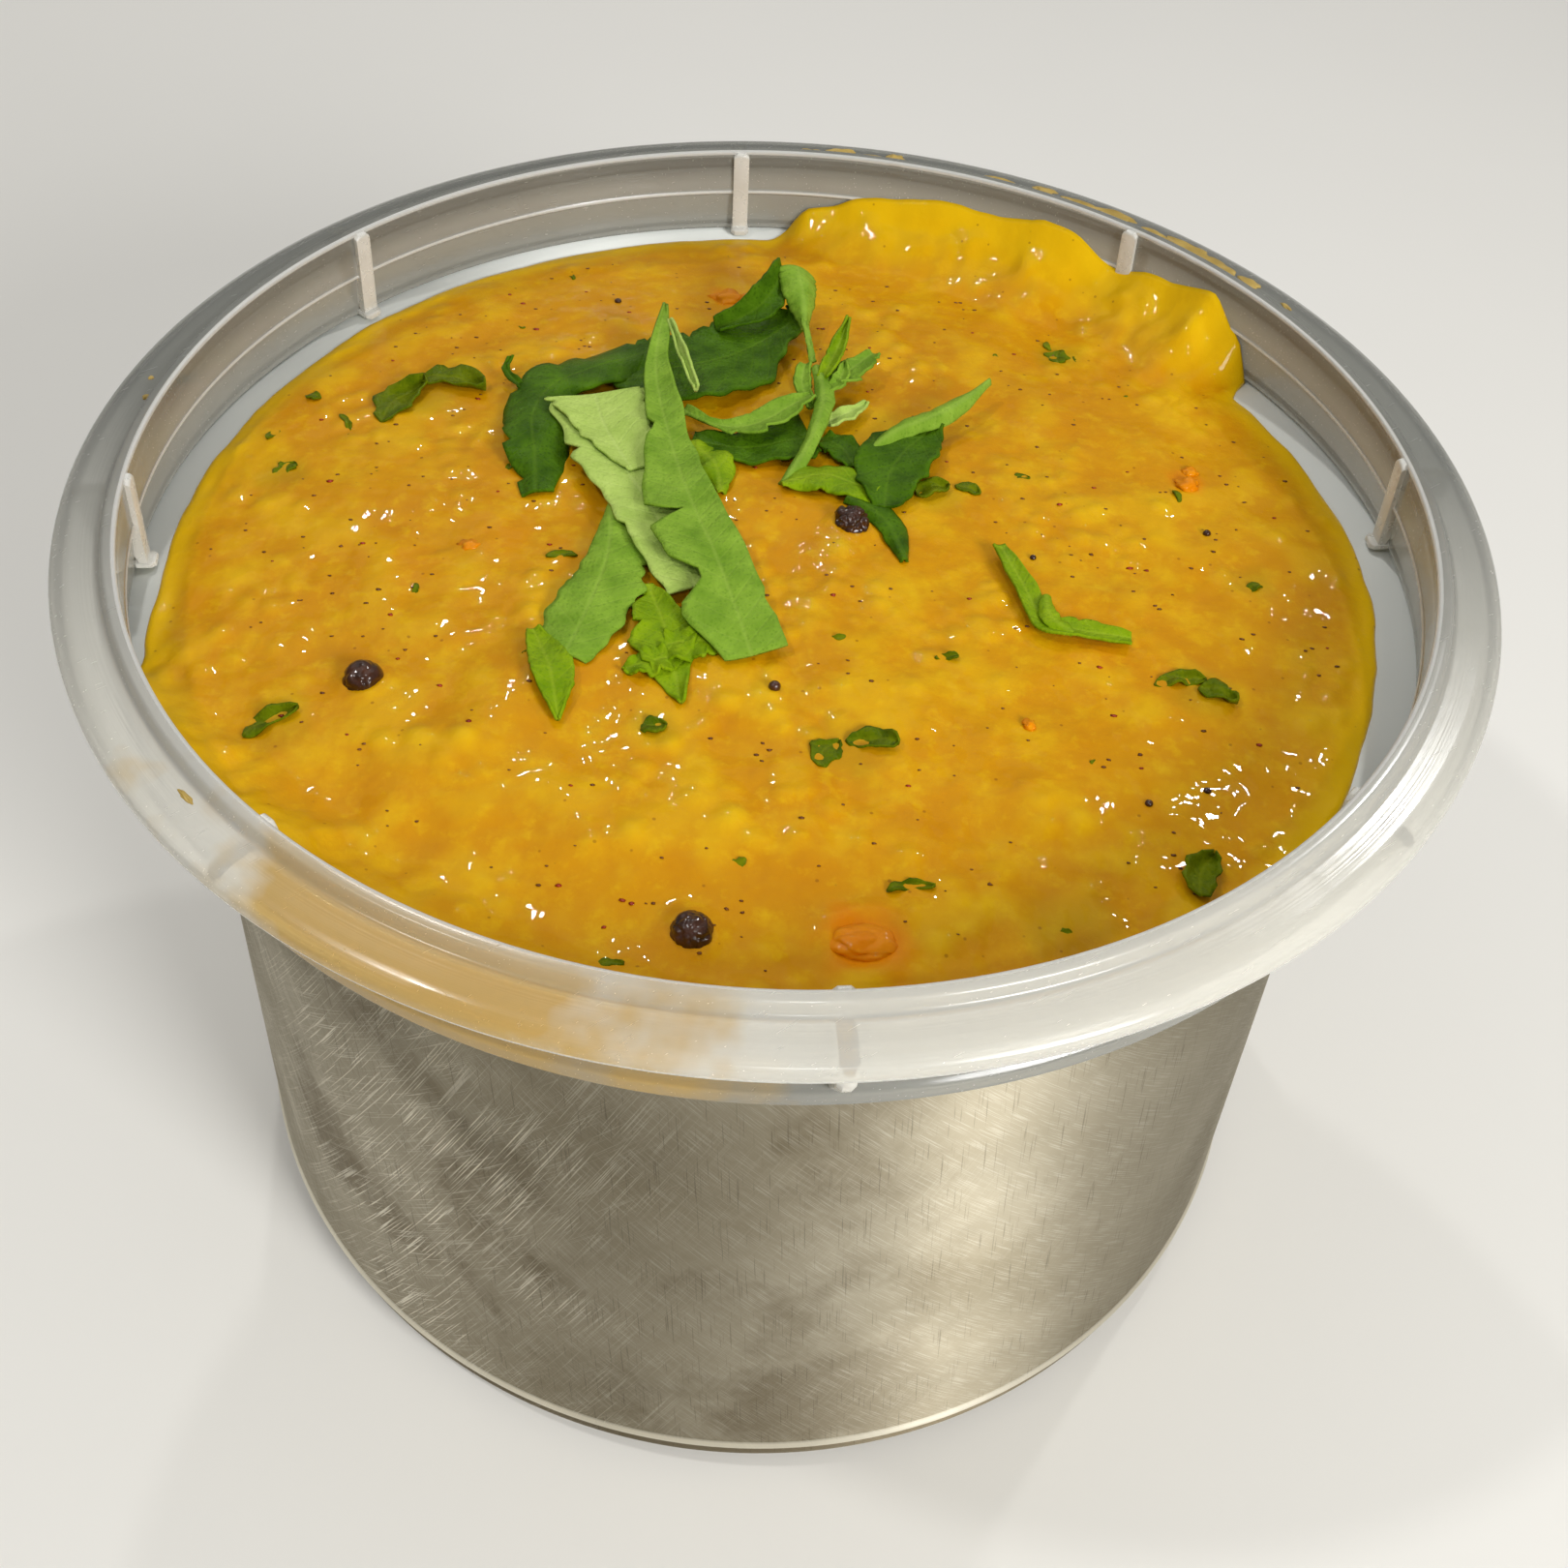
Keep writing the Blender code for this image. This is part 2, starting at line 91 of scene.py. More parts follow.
def valueAt(values, along):
    # Value at a share of the way along, smooth between the ones given
    return smoothAt([(value, 0.0) for value in values], along).x


def arcPoints(centre, radius, start, end, steps):
    # Angles in degrees, from outwards towards up
    angles = [math.radians(start + (end - start) * step / steps) for step in range(steps + 1)]
    return [(centre[0] + radius * math.cos(a), centre[1] + radius * math.sin(a)) for a in angles]


def softStep(value, low, high):
    share = min(max((value - low) / (high - low), 0.0), 1.0)
    return share * share * (3 - 2 * share)


def wavy(x, y, size, layer):
    return noise.noise(Vector((x / size, y / size, layer)))


def showPiece(name, mesh, material, body="root"):
    piece = bpy.data.objects.new(name, mesh)
    bpy.context.scene.collection.objects.link(piece)
    if material:
        mesh.materials.append(material)
    if body:
        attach(piece, body)
    return piece


def meshOf(name, points, faces):
    mesh = bpy.data.meshes.new(name)
    mesh.from_pydata([(x * mm, y * mm, z * mm) for x, y, z in points], [], faces)
    mesh.shade_smooth()
    return mesh


def meshFrom(name, bm):
    mesh = bpy.data.meshes.new(name)
    bm.to_mesh(mesh)
    bm.free()
    mesh.shade_smooth()
    return mesh


def gridFaces(base, steps, width):
    # Faces between the points of a grid that starts at a place in the list of points
    firsts = [base + step * width + strip for step in range(steps) for strip in range(width - 1)]
    return [(first, first + width, first + width + 1, first + 1) for first in firsts]


def addValues(mesh, name, values):
    layer = mesh.attributes.new(name, "FLOAT", "POINT")
    layer.data.foreach_set("value", values)


# Small tools for materials

def paint(red, green, blue):
    # Colour from 0 to 255 as a screen shows it
    def linear(part):
        part = part / 255
        return part / 12.92 if part <= 0.04045 else ((part + 0.055) / 1.055) ** 2.4
    return (linear(red), linear(green), linear(blue), 1.0)


def put(tree, kind, inputs=None, **settings):
    # Adds a node; its inputs are plain values, or sockets to link from
    node = tree.nodes.new("ShaderNode" + kind)
    for key, value in settings.items():
        setattr(node, key, value)
    for key, value in (inputs or {}).items():
        feed(tree, node.inputs[key], value)
    return node


def feed(tree, socket, value):
    if isinstance(value, bpy.types.NodeSocket):
        tree.links.new(value, socket)
    else:
        socket.default_value = value


def fill(tree, shader, values):
    for name, value in values.items():
        feed(tree, shader.inputs[name], value)


def calc(tree, operation, first, second=0.0):
    return put(tree, "Math", {0: first, 1: second}, operation=operation).outputs[0]


def times(tree, first, second):
    return calc(tree, "MULTIPLY", first, second)


def spread(tree, value, low, high, start=0.0, end=1.0):
    ranges = {"Value": value, "From Min": low, "From Max": high, "To Min": start, "To Max": end}
    return put(tree, "MapRange", ranges).outputs[0]


def zone(tree, value, band, start=0.0, end=1.0):
    # Spread between two places given in millimetres
    return spread(tree, value, band[0] * mm, band[1] * mm, start, end)


def awayFrom(tree, value, middle):
    return calc(tree, "ABSOLUTE", calc(tree, "SUBTRACT", value, middle))


def blendColour(tree, share, below, above):
    return put(tree, "Mix", {0: share, 6: below, 7: above}, data_type="RGBA").outputs[2]


def noiseOf(tree, vector, size, detail=3.0, roughness=0.55):
    # Size of the pattern in millimetres
    values = {"Vector": vector, "Scale": 1 / (size * mm), "Detail": detail, "Roughness": roughness}
    return put(tree, "TexNoise", values).outputs[0]


def attributeOf(tree, name):
    return put(tree, "Attribute", attribute_name=name).outputs["Fac"]


def bumpOf(tree, height, depth, strength=1.0):
    # Depth of the relief in millimetres
    return put(tree, "Bump", {"Height": height, "Strength": strength, "Distance": depth * mm}).outputs[0]


def newMaterial(name):
    material = bpy.data.materials.new(name)
    material.use_nodes = True
    tree = material.node_tree
    place = put(tree, "TexCoord").outputs["Object"]
    return material, tree, tree.nodes["Principled BSDF"], place


def newGroup(name, inputs, outputs):
    tree = bpy.data.node_groups.new(name, "ShaderNodeTree")
    for label, kind, value in inputs:
        socket = tree.interface.new_socket(label, in_out="INPUT", socket_type="NodeSocket" + kind)
        if value is not None:
            socket.default_value = value
    for label, kind in outputs:
        tree.interface.new_socket(label, in_out="OUTPUT", socket_type="NodeSocket" + kind)
    start = tree.nodes.new("NodeGroupInput")
    end = tree.nodes.new("NodeGroupOutput")
    return tree, start.outputs, end.inputs


def useGroup(tree, group, inputs):
    return put(tree, "Group", inputs, node_tree=group).outputs


# Two colours mingled in soft uneven patches
def makeMottle():
    tree, given, result = newGroup("mottle", [
        ("Vector", "Vector", None), ("Size", "Float", 5.0), ("Hardness", "Float", 0.5),
        ("Dark", "Color", None), ("Light", "Color", None)], [("Color", "Color"), ("Mask", "Float")])
    scale = calc(tree, "DIVIDE", 1 / mm, given["Size"])
    pattern = put(tree, "TexNoise", {"Vector": given["Vector"], "Scale": scale, "Detail": 4.0}).outputs[0]
    reach = calc(tree, "SUBTRACT", 0.5, times(tree, given["Hardness"], 0.45))
    low = calc(tree, "SUBTRACT", 0.5, reach)
    high = calc(tree, "ADD", 0.5, reach)
    mask = spread(tree, pattern, low, high)
    tree.links.new(blendColour(tree, mask, given["Dark"], given["Light"]), result["Color"])
    tree.links.new(mask, result["Mask"])
    return tree


# Small separate spots, of which only a share shows
def makeFreckles():
    tree, given, result = newGroup("freckles", [
        ("Vector", "Vector", None), ("Spacing", "Float", 2.0), ("Share", "Float", 0.3),
        ("Width", "Float", 0.2)], [("Mask", "Float")])
    scale = calc(tree, "DIVIDE", 1 / mm, given["Spacing"])
    cells = put(tree, "TexVoronoi", {"Vector": given["Vector"], "Scale": scale})
    edge = times(tree, given["Width"], 0.6)
    spot = spread(tree, cells.outputs["Distance"], given["Width"], edge)
    chosen = calc(tree, "LESS_THAN", put(tree, "SeparateColor", {0: cells.outputs["Color"]}).outputs[0],
                  given["Share"])
    tree.links.new(times(tree, spot, chosen), result["Mask"])
    return tree


# Fine straight scratches in one direction of the first two coordinates
def makeScratches():
    tree, given, result = newGroup("scratches", [
        ("Vector", "Vector", None), ("Turn", "Float", 0.0), ("Width", "Float", 0.3),
        ("Length", "Float", 12.0), ("Share", "Float", 0.1)], [("Mask", "Float")])
    turned = put(tree, "VectorRotate", {"Vector": given["Vector"], "Angle": given["Turn"]},
                 rotation_type="Z_AXIS").outputs[0]
    wide = calc(tree, "DIVIDE", 1 / mm, given["Width"])
    long = calc(tree, "DIVIDE", 1 / mm, given["Length"])
    stretch = put(tree, "CombineXYZ", {0: wide, 1: long, 2: wide}).outputs[0]
    place = put(tree, "VectorMath", {0: turned, 1: stretch}, operation="MULTIPLY").outputs[0]
    pattern = put(tree, "TexNoise", {"Vector": place, "Scale": 1.0, "Detail": 1.5}).outputs[0]
    top = calc(tree, "SUBTRACT", 0.72, times(tree, given["Share"], 0.4))
    mask = spread(tree, pattern, top, calc(tree, "ADD", top, 0.06))
    tree.links.new(mask, result["Mask"])
    return tree


# Midrib and slanting side veins, from places along and across a blade
def makeVeins():
    tree, given, result = newGroup("veins", [
        ("Along", "Float", 0.0), ("Across", "Float", 0.0), ("Spacing", "Float", 3.0),
        ("Slant", "Float", 1.0)], [("Mask", "Float"), ("Relief", "Float")])
    aside = calc(tree, "ABSOLUTE", given["Across"])
    midrib = spread(tree, aside, 0.32, 0.06)
    climb = times(tree, aside, given["Slant"])
    place = calc(tree, "DIVIDE", calc(tree, "ADD", given["Along"], climb), given["Spacing"])
    nearest = awayFrom(tree, calc(tree, "FRACT", place), 0.5)
    side = times(tree, spread(tree, nearest, 0.09, 0.0), 0.55)
    mask = calc(tree, "MAXIMUM", midrib, side)
    puff = calc(tree, "SUBTRACT", times(tree, nearest, 1.2), mask)
    tree.links.new(mask, result["Mask"])
    tree.links.new(puff, result["Relief"])
    return tree


def mottled(tree, place, size, hardness, dark, light):
    return useGroup(tree, mottle, {"Vector": place, "Size": size, "Hardness": hardness,
                                   "Dark": dark, "Light": light})


def freckled(tree, place, spacing, share, width):
    return useGroup(tree, freckles, {"Vector": place, "Spacing": spacing, "Share": share,
                                     "Width": width})["Mask"]


mottle = makeMottle()
freckles = makeFreckles()
scratches = makeScratches()
veins = makeVeins()
print("tools and shared effects are ready")


# Steel bowl

steelLook = dict(
    plain=paint(184, 176, 156),
    wearAndHighlight=paint(228, 224, 210),
    stain=paint(134, 124, 100),
    film=paint(104, 90, 62),
    flangeHighlight=paint(240, 242, 238),
    scratchAndHighlight=paint(246, 240, 222),
    nick=paint(84, 74, 56),
    roughness=(0.48, 0.6),
    bandHeight=4.2,
    # Where each mask begins and where it is full, in millimetres
    sideBlend=(42, 56),
    scratchedX=(-4, -22),
    scratchedY=(10, -20),
    darkReflectionLeftX=(26, 0),
    # The same as distances from the band or from the flange
    ridgeRise=0.6,
    ridgeHighlightBand=(0.8, 0.4),
    paintedFootShadeBand=(0.1, -0.3),
    flangeBand=(-5, -2),
    # Direction in radians, width and length in millimetres, and the share that shows
    scratches=dict(
        grain=dict(Turn=-0.7, Width=0.09, Length=5.0, Share=0.4),
        deep=dict(Turn=0.42, Width=0.13, Length=13.0, Share=0.36),
        fanned=dict(Turn=0.714, Width=0.11, Length=9.0, Share=0.3),
        cross=dict(Turn=-0.05, Width=0.16, Length=9.0, Share=0.22),
    ),
)


def steelMaterial():
    material, tree, shader, place = newMaterial("brushedSteel")
    x, y, z = put(tree, "SeparateXYZ", {0: place}).outputs
    # The patterns are laid on from the front and from the side, and meet softly between
    frontPlace = put(tree, "CombineXYZ", {0: x, 1: z, 2: 0.0}).outputs[0]
    sidePlace = put(tree, "CombineXYZ", {0: y, 1: z, 2: 0.3}).outputs[0]
    facing = zone(tree, calc(tree, "ABSOLUTE", x), steelLook["sideBlend"])
    grain, deep, fanned, cross = [scratchMask(tree, frontPlace, sidePlace, facing, kind)
                                  for kind in steelLook["scratches"].values()]
    # Most of the deep scratches are on the left of the front
    left = zone(tree, x, steelLook["scratchedX"])
    front = zone(tree, y, steelLook["scratchedY"])
    rubbed = calc(tree, "ADD", times(tree, times(tree, left, front), 0.92), 0.08)
    rubbed = times(tree, rubbed, spread(tree, noiseOf(tree, place, 17.0, 4.0), 0.38, 0.56, 0.2, 1.0))
    marks = calc(tree, "MAXIMUM", deep, times(tree, fanned, 0.6))
    marks = times(tree, times(tree, marks, rubbed), 0.85)
    colour = mottled(tree, place, 26.0, 0.3, steelLook["stain"], steelLook["plain"])["Color"]
    # Brownish film in patches, heavier towards the left: partly a film on the steel, partly a painted dark
    # reflection on the left side
    film = spread(tree, noiseOf(tree, place, 22.0, 5.0, 0.6), 0.5, 0.62)
    film = times(tree, film, zone(tree, x, steelLook["darkReflectionLeftX"], 0.2, 1.0))
    # A painted highlight runs along the ridge above the foot, and a band of painted shade lies under it
    band = steelLook["bandHeight"]
    ridge = zone(tree, awayFrom(tree, z, (band + steelLook["ridgeRise"]) * mm), steelLook["ridgeHighlightBand"])
    paintedFootShade = zone(tree, z, [band + rise for rise in steelLook["paintedFootShadeBand"]])
    # Painted highlight: only the flange's upper side, facing up, is painted this bright
    upward = put(tree, "SeparateXYZ", {0: put(tree, "NewGeometry").outputs["Normal"]}).outputs[2]
    flangeHighlight = zone(tree, z, [flangeTop + rise for rise in steelLook["flangeBand"]])
    flangeHighlight = times(tree, flangeHighlight, spread(tree, upward, -0.1, 0.2))
    for mask, share, tone in ((film, 0.62, "film"), (grain, 0.22, "wearAndHighlight"), (marks, 1.0, "scratchAndHighlight"),
                              (cross, 0.4, "nick"), (ridge, 0.8, "scratchAndHighlight"), (paintedFootShade, 0.6, "film"),
                              (flangeHighlight, 1.0, "flangeHighlight")):
        colour = blendColour(tree, times(tree, mask, share), colour, steelLook[tone])
    gloss = spread(tree, noiseOf(tree, place, 12.0, 5.0), 0.3, 0.7, *steelLook["roughness"])
    for mask, share in ((marks, 0.2), (flangeHighlight, 0.3), (ridge, -0.2)):
        gloss = calc(tree, "ADD", gloss, times(tree, mask, share))
    relief = calc(tree, "SUBTRACT", times(tree, grain, 0.4), marks)
    # Brushed round the bowl, so that highlights stretch up and down
    around = put(tree, "Tangent", direction_type="RADIAL", axis="Z").outputs[0]
    fill(tree, shader, {"Base Color": colour, "Roughness": gloss, "Metallic": 1.0, "Anisotropic": 0.88,
                        "Anisotropic Rotation": 0.25, "Tangent": around,
                        "Normal": bumpOf(tree, relief, 0.01, 0.3)})
    return material


def scratchMask(tree, frontPlace, sidePlace, facing, kind):
    front = useGroup(tree, scratches, dict(kind, Vector=frontPlace))["Mask"]
    side = useGroup(tree, scratches, dict(kind, Vector=sidePlace))["Mask"]
    return put(tree, "Mix", {0: facing, 2: front, 3: side}, data_type="FLOAT").outputs[0]


def turnedPiece(name, profile, closed, steps, material):
    mesh = bpy.data.meshes.new(name)
    edges = [(i, i + 1) for i in range(len(profile) - 1)]
    if closed:
        edges.append((len(profile) - 1, 0))
    mesh.from_pydata([(r * mm, 0.0, z * mm) for r, z in profile], edges, [])
    piece = showPiece(name, mesh, material, None)
    turn = piece.modifiers.new("turn", "SCREW")
    turn.axis = "Z"
    turn.steps = steps
    turn.render_steps = steps
    turn.use_merge_vertices = True
    turn.merge_threshold = 0.01 * mm
    turn.use_smooth_shade = True
    return piece


def keepShape(piece):
    # Turns the modifiers' result into the piece's own mesh
    graph = bpy.context.evaluated_depsgraph_get()
    mesh = bpy.data.meshes.new_from_object(piece.evaluated_get(graph))
    mesh.name = piece.name
    piece.modifiers.clear()
    piece.data = mesh
    mesh.shade_smooth()
    mesh.set_sharp_from_angle(angle=math.radians(40))


def makeSteelBowl():
    sheet = bowl["sheet"]
    wall = bowl["wallRadius"]
    fillet = bowl["flangeFillet"]
    corner = bowl["baseCorner"]
    profile = [(flangeRadius, flangeTop - sheet)]
    profile += arcPoints((wall + fillet, flangeTop - sheet - fillet), fillet, 90, 180, 10)
    # A low ridge runs round above the foot: how far it stands out, and its height on the band
    ridge = ((0.0, 1.8), (0.0, 1.2), (0.25, 0.8), (0.3, 0.4), (0.1, 0.1), (-0.2, -0.3))
    profile += [(wall + out, steelLook["bandHeight"] + rise) for out, rise in ridge]
    foot = wall + ridge[-1][0]
    profile += arcPoints((foot - corner, corner), corner, 0, -90, 10)
    profile += [(wall * 0.6, 0.0), (0.0, 0.0)]
    piece = turnedPiece("steelBowl", profile, False, bowl["turnSteps"], steelMaterial())
    shell = piece.modifiers.new("sheet", "SOLIDIFY")
    shell.thickness = sheet * mm
    shell.offset = -1.0
    shell.use_even_offset = True
    keepShape(piece)
    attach(piece, "root")
    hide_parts("steel_bowl")


makeSteelBowl()
print("steel bowl turned")


# Clear rim

rim = dict(
    innerRadius=68.2,
    landWidth=1.35,
    lipDrop=1.2,
    shoulderRadius=73.3,
    skirtDrop=3.4,
    wallRadius=69.6,
    footRadius=70.5,
    grip=1.1,
    stepDrop=6.0,
    seatGap=0.3,
    ribCount=8,
    ribAngle=6.3,
    webWidth=1.7,
    barWidth=2.0,
    fingerWidth=2.3,
    plateSoft=0.45,
    barDepth=0.6,
    fingerReach=66.8,
    fingerHeight=0.8,
    turnSteps=192,
)
rimLook = dict(
    tint=paint(190, 190, 182),
    cloud=paint(170, 169, 160),
    lip=paint(150, 151, 144),
    hazeAndHighlight=paint(254, 251, 240),
    turmeric=paint(226, 190, 108),
    frost=paint(244, 243, 236),
    frostDark=paint(222, 220, 210),
    edge=paint(255, 254, 248),
    roughness=(0.12, 0.24),
    ringSpacing=0.22,
    # Where the thick lip, the scuffed and painted-bright front and the stain begin and where they are full
    lipHeight=(-4.5, -2.5),
    lipRadius=(71.0, 72.5),
    scuffedLitY=(10, -55),
    stainAzimuth=-112,
    stainSpread=(0.42, 0.2),
    stainRadius=(69, 71),
    # How far each painted white highlight line fades out
    stepEdge=(0.3, 0.15),
    topEdge=(0.35, 0.2),
    skirtEdge=(0.4, 0.25),
)


def rimMaterial():
    material, tree, shader, place = newMaterial("clearRim")
    x, y, z = put(tree, "SeparateXYZ", {0: place}).outputs
    flat = put(tree, "CombineXYZ", {0: x, 1: y, 2: 0.0}).outputs[0]
    radius = put(tree, "VectorMath", {0: flat}, operation="LENGTH").outputs["Value"]

    def lineAt(height, kind):
        # A thin line round the rim at one height
        return zone(tree, awayFrom(tree, z, height * mm), rimLook[kind])

    # Fine rings left by the mould, and scuffs
    across = calc(tree, "DIVIDE", radius, rimLook["ringSpacing"] * mm)
    rings = put(tree, "TexNoise", {"W": across, "Scale": 1.0, "Detail": 1.0},
                noise_dimensions="1D").outputs[0]
    scuffs = useGroup(tree, scratches, {"Vector": place, "Turn": 0.9, "Width": 0.2, "Length": 5.0,
                                        "Share": 0.04})["Mask"]
    # The thick lip is a darker grey than the thin wall, and near-white on the front: partly scuffing, partly
    # a painted highlight where light falls on the front
    thick = zone(tree, z, [rimTop + rise for rise in rimLook["lipHeight"]])
    thick = calc(tree, "MAXIMUM", thick, zone(tree, radius, rimLook["lipRadius"]))
    scuffedLitFront = zone(tree, y, rimLook["scuffedLitY"], 0.0, 0.9)
    # Turmeric has stained one stretch
    aside = awayFrom(tree, calc(tree, "ARCTAN2", y, x), math.radians(rimLook["stainAzimuth"]))
    ragged = spread(tree, noiseOf(tree, place, 9.0, 3.0), 0.3, 0.7, -0.15, 0.15)
    stained = spread(tree, calc(tree, "ADD", aside, ragged), *rimLook["stainSpread"])
    stained = times(tree, stained, zone(tree, radius, rimLook["stainRadius"], 0.5, 0.95))
    # Painted highlights: thin white lines along the mould's step, the inner top edge and the lower edge of
    # the skirt
    inside = zone(tree, radius, (rim["innerRadius"] + 0.5, rim["innerRadius"] + 0.3))
    step = lineAt(rimTop - rim["stepDrop"], "stepEdge")
    wearAndHighlight = calc(tree, "MAXIMUM", step, lineAt(rimTop - 0.2, "topEdge"))
    outside = zone(tree, radius, (rimRadius - 1.3, rimRadius - 1.0))
    skirtEdge = times(tree, lineAt(rimTop - rim["skirtDrop"], "skirtEdge"), outside)
    wearAndHighlight = calc(tree, "MAXIMUM", times(tree, wearAndHighlight, inside), skirtEdge)
    colour = mottled(tree, place, 18.0, 0.2, rimLook["cloud"], rimLook["tint"])["Color"]
    for mask, tone in ((thick, "lip"), (times(tree, thick, scuffedLitFront), "hazeAndHighlight"), (stained, "turmeric"),
                       (wearAndHighlight, "edge")):
        colour = blendColour(tree, mask, colour, rimLook[tone])
    gloss = spread(tree, noiseOf(tree, place, 7.0, 4.0), 0.35, 0.65, *rimLook["roughness"])
    for mask, share in ((scuffs, 0.25), (wearAndHighlight, 0.3)):
        gloss = calc(tree, "ADD", gloss, times(tree, mask, share))
    relief = calc(tree, "ADD", rings, times(tree, scuffs, -0.6))
    fill(tree, shader, {"Base Color": colour, "Roughness": gloss, "Transmission Weight": 0.54, "IOR": 1.49,
                        "Normal": bumpOf(tree, relief, 0.02, 0.5)})
    return material


def frostMaterial():
    material, tree, shader, place = newMaterial("frostedRib")
    frost = mottled(tree, place, 3.0, 0.3, rimLook["frostDark"], rimLook["frost"])["Color"]
    gloss = spread(tree, noiseOf(tree, place, 2.0, 4.0), 0.3, 0.7, 0.2, 0.34)
    fill(tree, shader, {"Base Color": frost, "Roughness": gloss, "Transmission Weight": 0.3, "IOR": 1.49,
                        "Normal": bumpOf(tree, noiseOf(tree, place, 0.5, 3.0), 0.03, 0.5)})
    return material


def rounded(corners, steps=4):
    # Closed outline of corners (radius, height and size of round), each cut to its round
    outline = []
    for index, (radius, height, size) in enumerate(corners):
        here = Vector((radius, height))
        back = Vector(corners[index - 1][:2]) - here
        ahead = Vector(corners[(index + 1) % len(corners)][:2]) - here
        cut = min(size, back.length * 0.45, ahead.length * 0.45)
        start = here + back.normalized() * cut
        end = here + ahead.normalized() * cut
        for step in range(steps + 1):
            t = step / steps
            outline.append(tuple(start * (1 - t) ** 2 + here * 2 * t * (1 - t) + end * t ** 2))
    return outline


def rimSection():
    # Land, lip, shoulder and skirt outside; wall, foot and the seat on the flange inside
    lip = rimTop - rim["lipDrop"]
    skirt = rimTop - rim["skirtDrop"]
    seat = flangeTop + rim["seatGap"]
    step = rimTop - rim["stepDrop"]
    inner = rim["innerRadius"]
    land = inner + rim["landWidth"]
    shoulder = rim["shoulderRadius"]
    wall = rim["wallRadius"]
    foot = rim["footRadius"]
    grip = flangeRadius + rim["seatGap"]
    corners = [
        (inner, rimTop, 0.35), (land, rimTop, 0.35), (land + 0.5, lip, 0.4), (shoulder, lip, 0.8),
        (rimRadius, lip - 0.9, 0.9), (rimRadius, skirt, 0.25), (rimRadius - 0.9, skirt - 0.2, 0.2),
        (shoulder + 0.1, lip - 1.4, 0.8), (wall + 0.8, lip - 1.2, 0.5), (wall, lip - 1.8, 0.6),
        (wall + 0.1, seat + 1.1, 0.5), (foot, seat + 0.3, 0.3), (foot, seat - rim["grip"], 0.15),
        (grip, seat - rim["grip"], 0.1), (grip, seat, 0.1), (inner + 0.8, seat, 0.3),
        (inner + 0.35, step - 0.5, 0.15), (inner - 0.12, step - 0.15, 0.12),
        (inner - 0.12, step + 0.1, 0.12), (inner + 0.05, step + 0.4, 0.2),
    ]
    return rounded(corners)


def webOutline():
    # The web under the lip, from the wall to the shoulder
    top = rimTop - rim["lipDrop"] - 0.4
    root = rim["wallRadius"] - 0.4
    web = rim["shoulderRadius"] + 0.6
    corners = [
        (root, top, 0.1), (web, top, 0.2), (web, rimTop - 6.2, 0.9),
        (root + 1.0, flangeTop + 1.0, 0.3), (root, flangeTop + 1.0, 0.1),
    ]
    return rounded(corners)


def barOutline():
    # The upright bar on the inner face, round at its top
    proud = rim["innerRadius"] - rim["barDepth"]
    root = rim["innerRadius"] + 0.3
    low = flangeTop + rim["seatGap"] + 0.3
    top = rimTop - 0.2
    corners = [(proud, low, 0.1), (proud, top, 0.5), (root + 0.5, top, 0.1), (root + 0.5, low + 1.2, 0.1),
               (root, low, 0.1)]
    return rounded(corners)


def fingerOutline():
    low = flangeTop + rim["seatGap"] + 0.06
    high = low + rim["fingerHeight"]
    root = rim["wallRadius"] - 0.3
    reach = rim["fingerReach"]
    corners = [(reach, low, 0.1), (reach, high, 0.35), (root, high, 0.1), (root, low, 0.1)]
    return rounded(corners)


def platesRound(name, outline, width, material):
    # A flat plate with softened long edges, set at each rib
    bm = bmesh.new()
    half = width / 2
    soft = rim["plateSoft"]
    count = len(outline)
    middle = sum((Vector(point) for point in outline), Vector((0.0, 0.0))) / count
    for index in range(rim["ribCount"]):
        turn = Matrix.Rotation(math.radians(rim["ribAngle"] + index * 360 / rim["ribCount"]), 4, "Z")
        layers = []
        for across, shrink in ((-half, soft), (-half + soft, 0.0), (half - soft, 0.0), (half, soft)):
            row = []
            for r, z in outline:
                inward = (middle - Vector((r, z))).normalized() * shrink
                row.append(bm.verts.new(turn @ (Vector((r + inward.x, across, z + inward.y)) * mm)))
            layers.append(row)
        for lower, upper in zip(layers, layers[1:]):
            for i in range(count):
                j = (i + 1) % count
                bm.faces.new((lower[i], lower[j], upper[j], upper[i]))
        bm.faces.new(layers[0][::-1])
        bm.faces.new(layers[-1])
    bmesh.ops.recalc_face_normals(bm, faces=bm.faces)
    return showPiece(name, meshFrom(name, bm), material, None)


def makeRim():
    piece = turnedPiece("rimCollar", rimSection(), True, rim["turnSteps"], rimMaterial())
    frost = frostMaterial()
    plates = (("web", webOutline()), ("bar", barOutline()), ("finger", fingerOutline()))
    helpers = [platesRound(name, outline, rim[name + "Width"], frost) for name, outline in plates]
    for helper in helpers:
        join = piece.modifiers.new(helper.name, "BOOLEAN")
        join.operation = "UNION"
        join.object = helper
        join.solver = "EXACT"
        join.material_mode = "TRANSFER"
    keepShape(piece)
    for helper in helpers:
        bpy.data.objects.remove(helper, do_unlink=True)
    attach(piece, "root")
    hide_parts("rim_collar")


makeRim()
print("clear rim joined to its ribs")


# Dal

dal = dict(
    aboveFlange=0.2,
    dome=2.9,
    gap=0.3,
    intoWall=0.12,
    meniscus=4.5,
    rampShare=1.0,
    bluntEdge=0.35,
    climbStart=7.85,
    wander=0.4,
    wanderUp=0.75,
    hugRise=0.45,
    hugReach=1.1,
    edgeBand=4.0,
    turnSteps=480,
    ringSteps=145,
    broad=(15.0, 0.5),
    lumps=(6.0, 0.42),
    curds=(3.2, 0.34),
    grains=(1.7, 0.1),
    # Ridges on the stretch smeared up the wall: size, layer of the noise and height, and
    # how far the dal climbs before they are full
    ridges=((4, 2.2, 1.3), (2, 6.1, 0.9)),
    ridgeClimb=6.0,
)

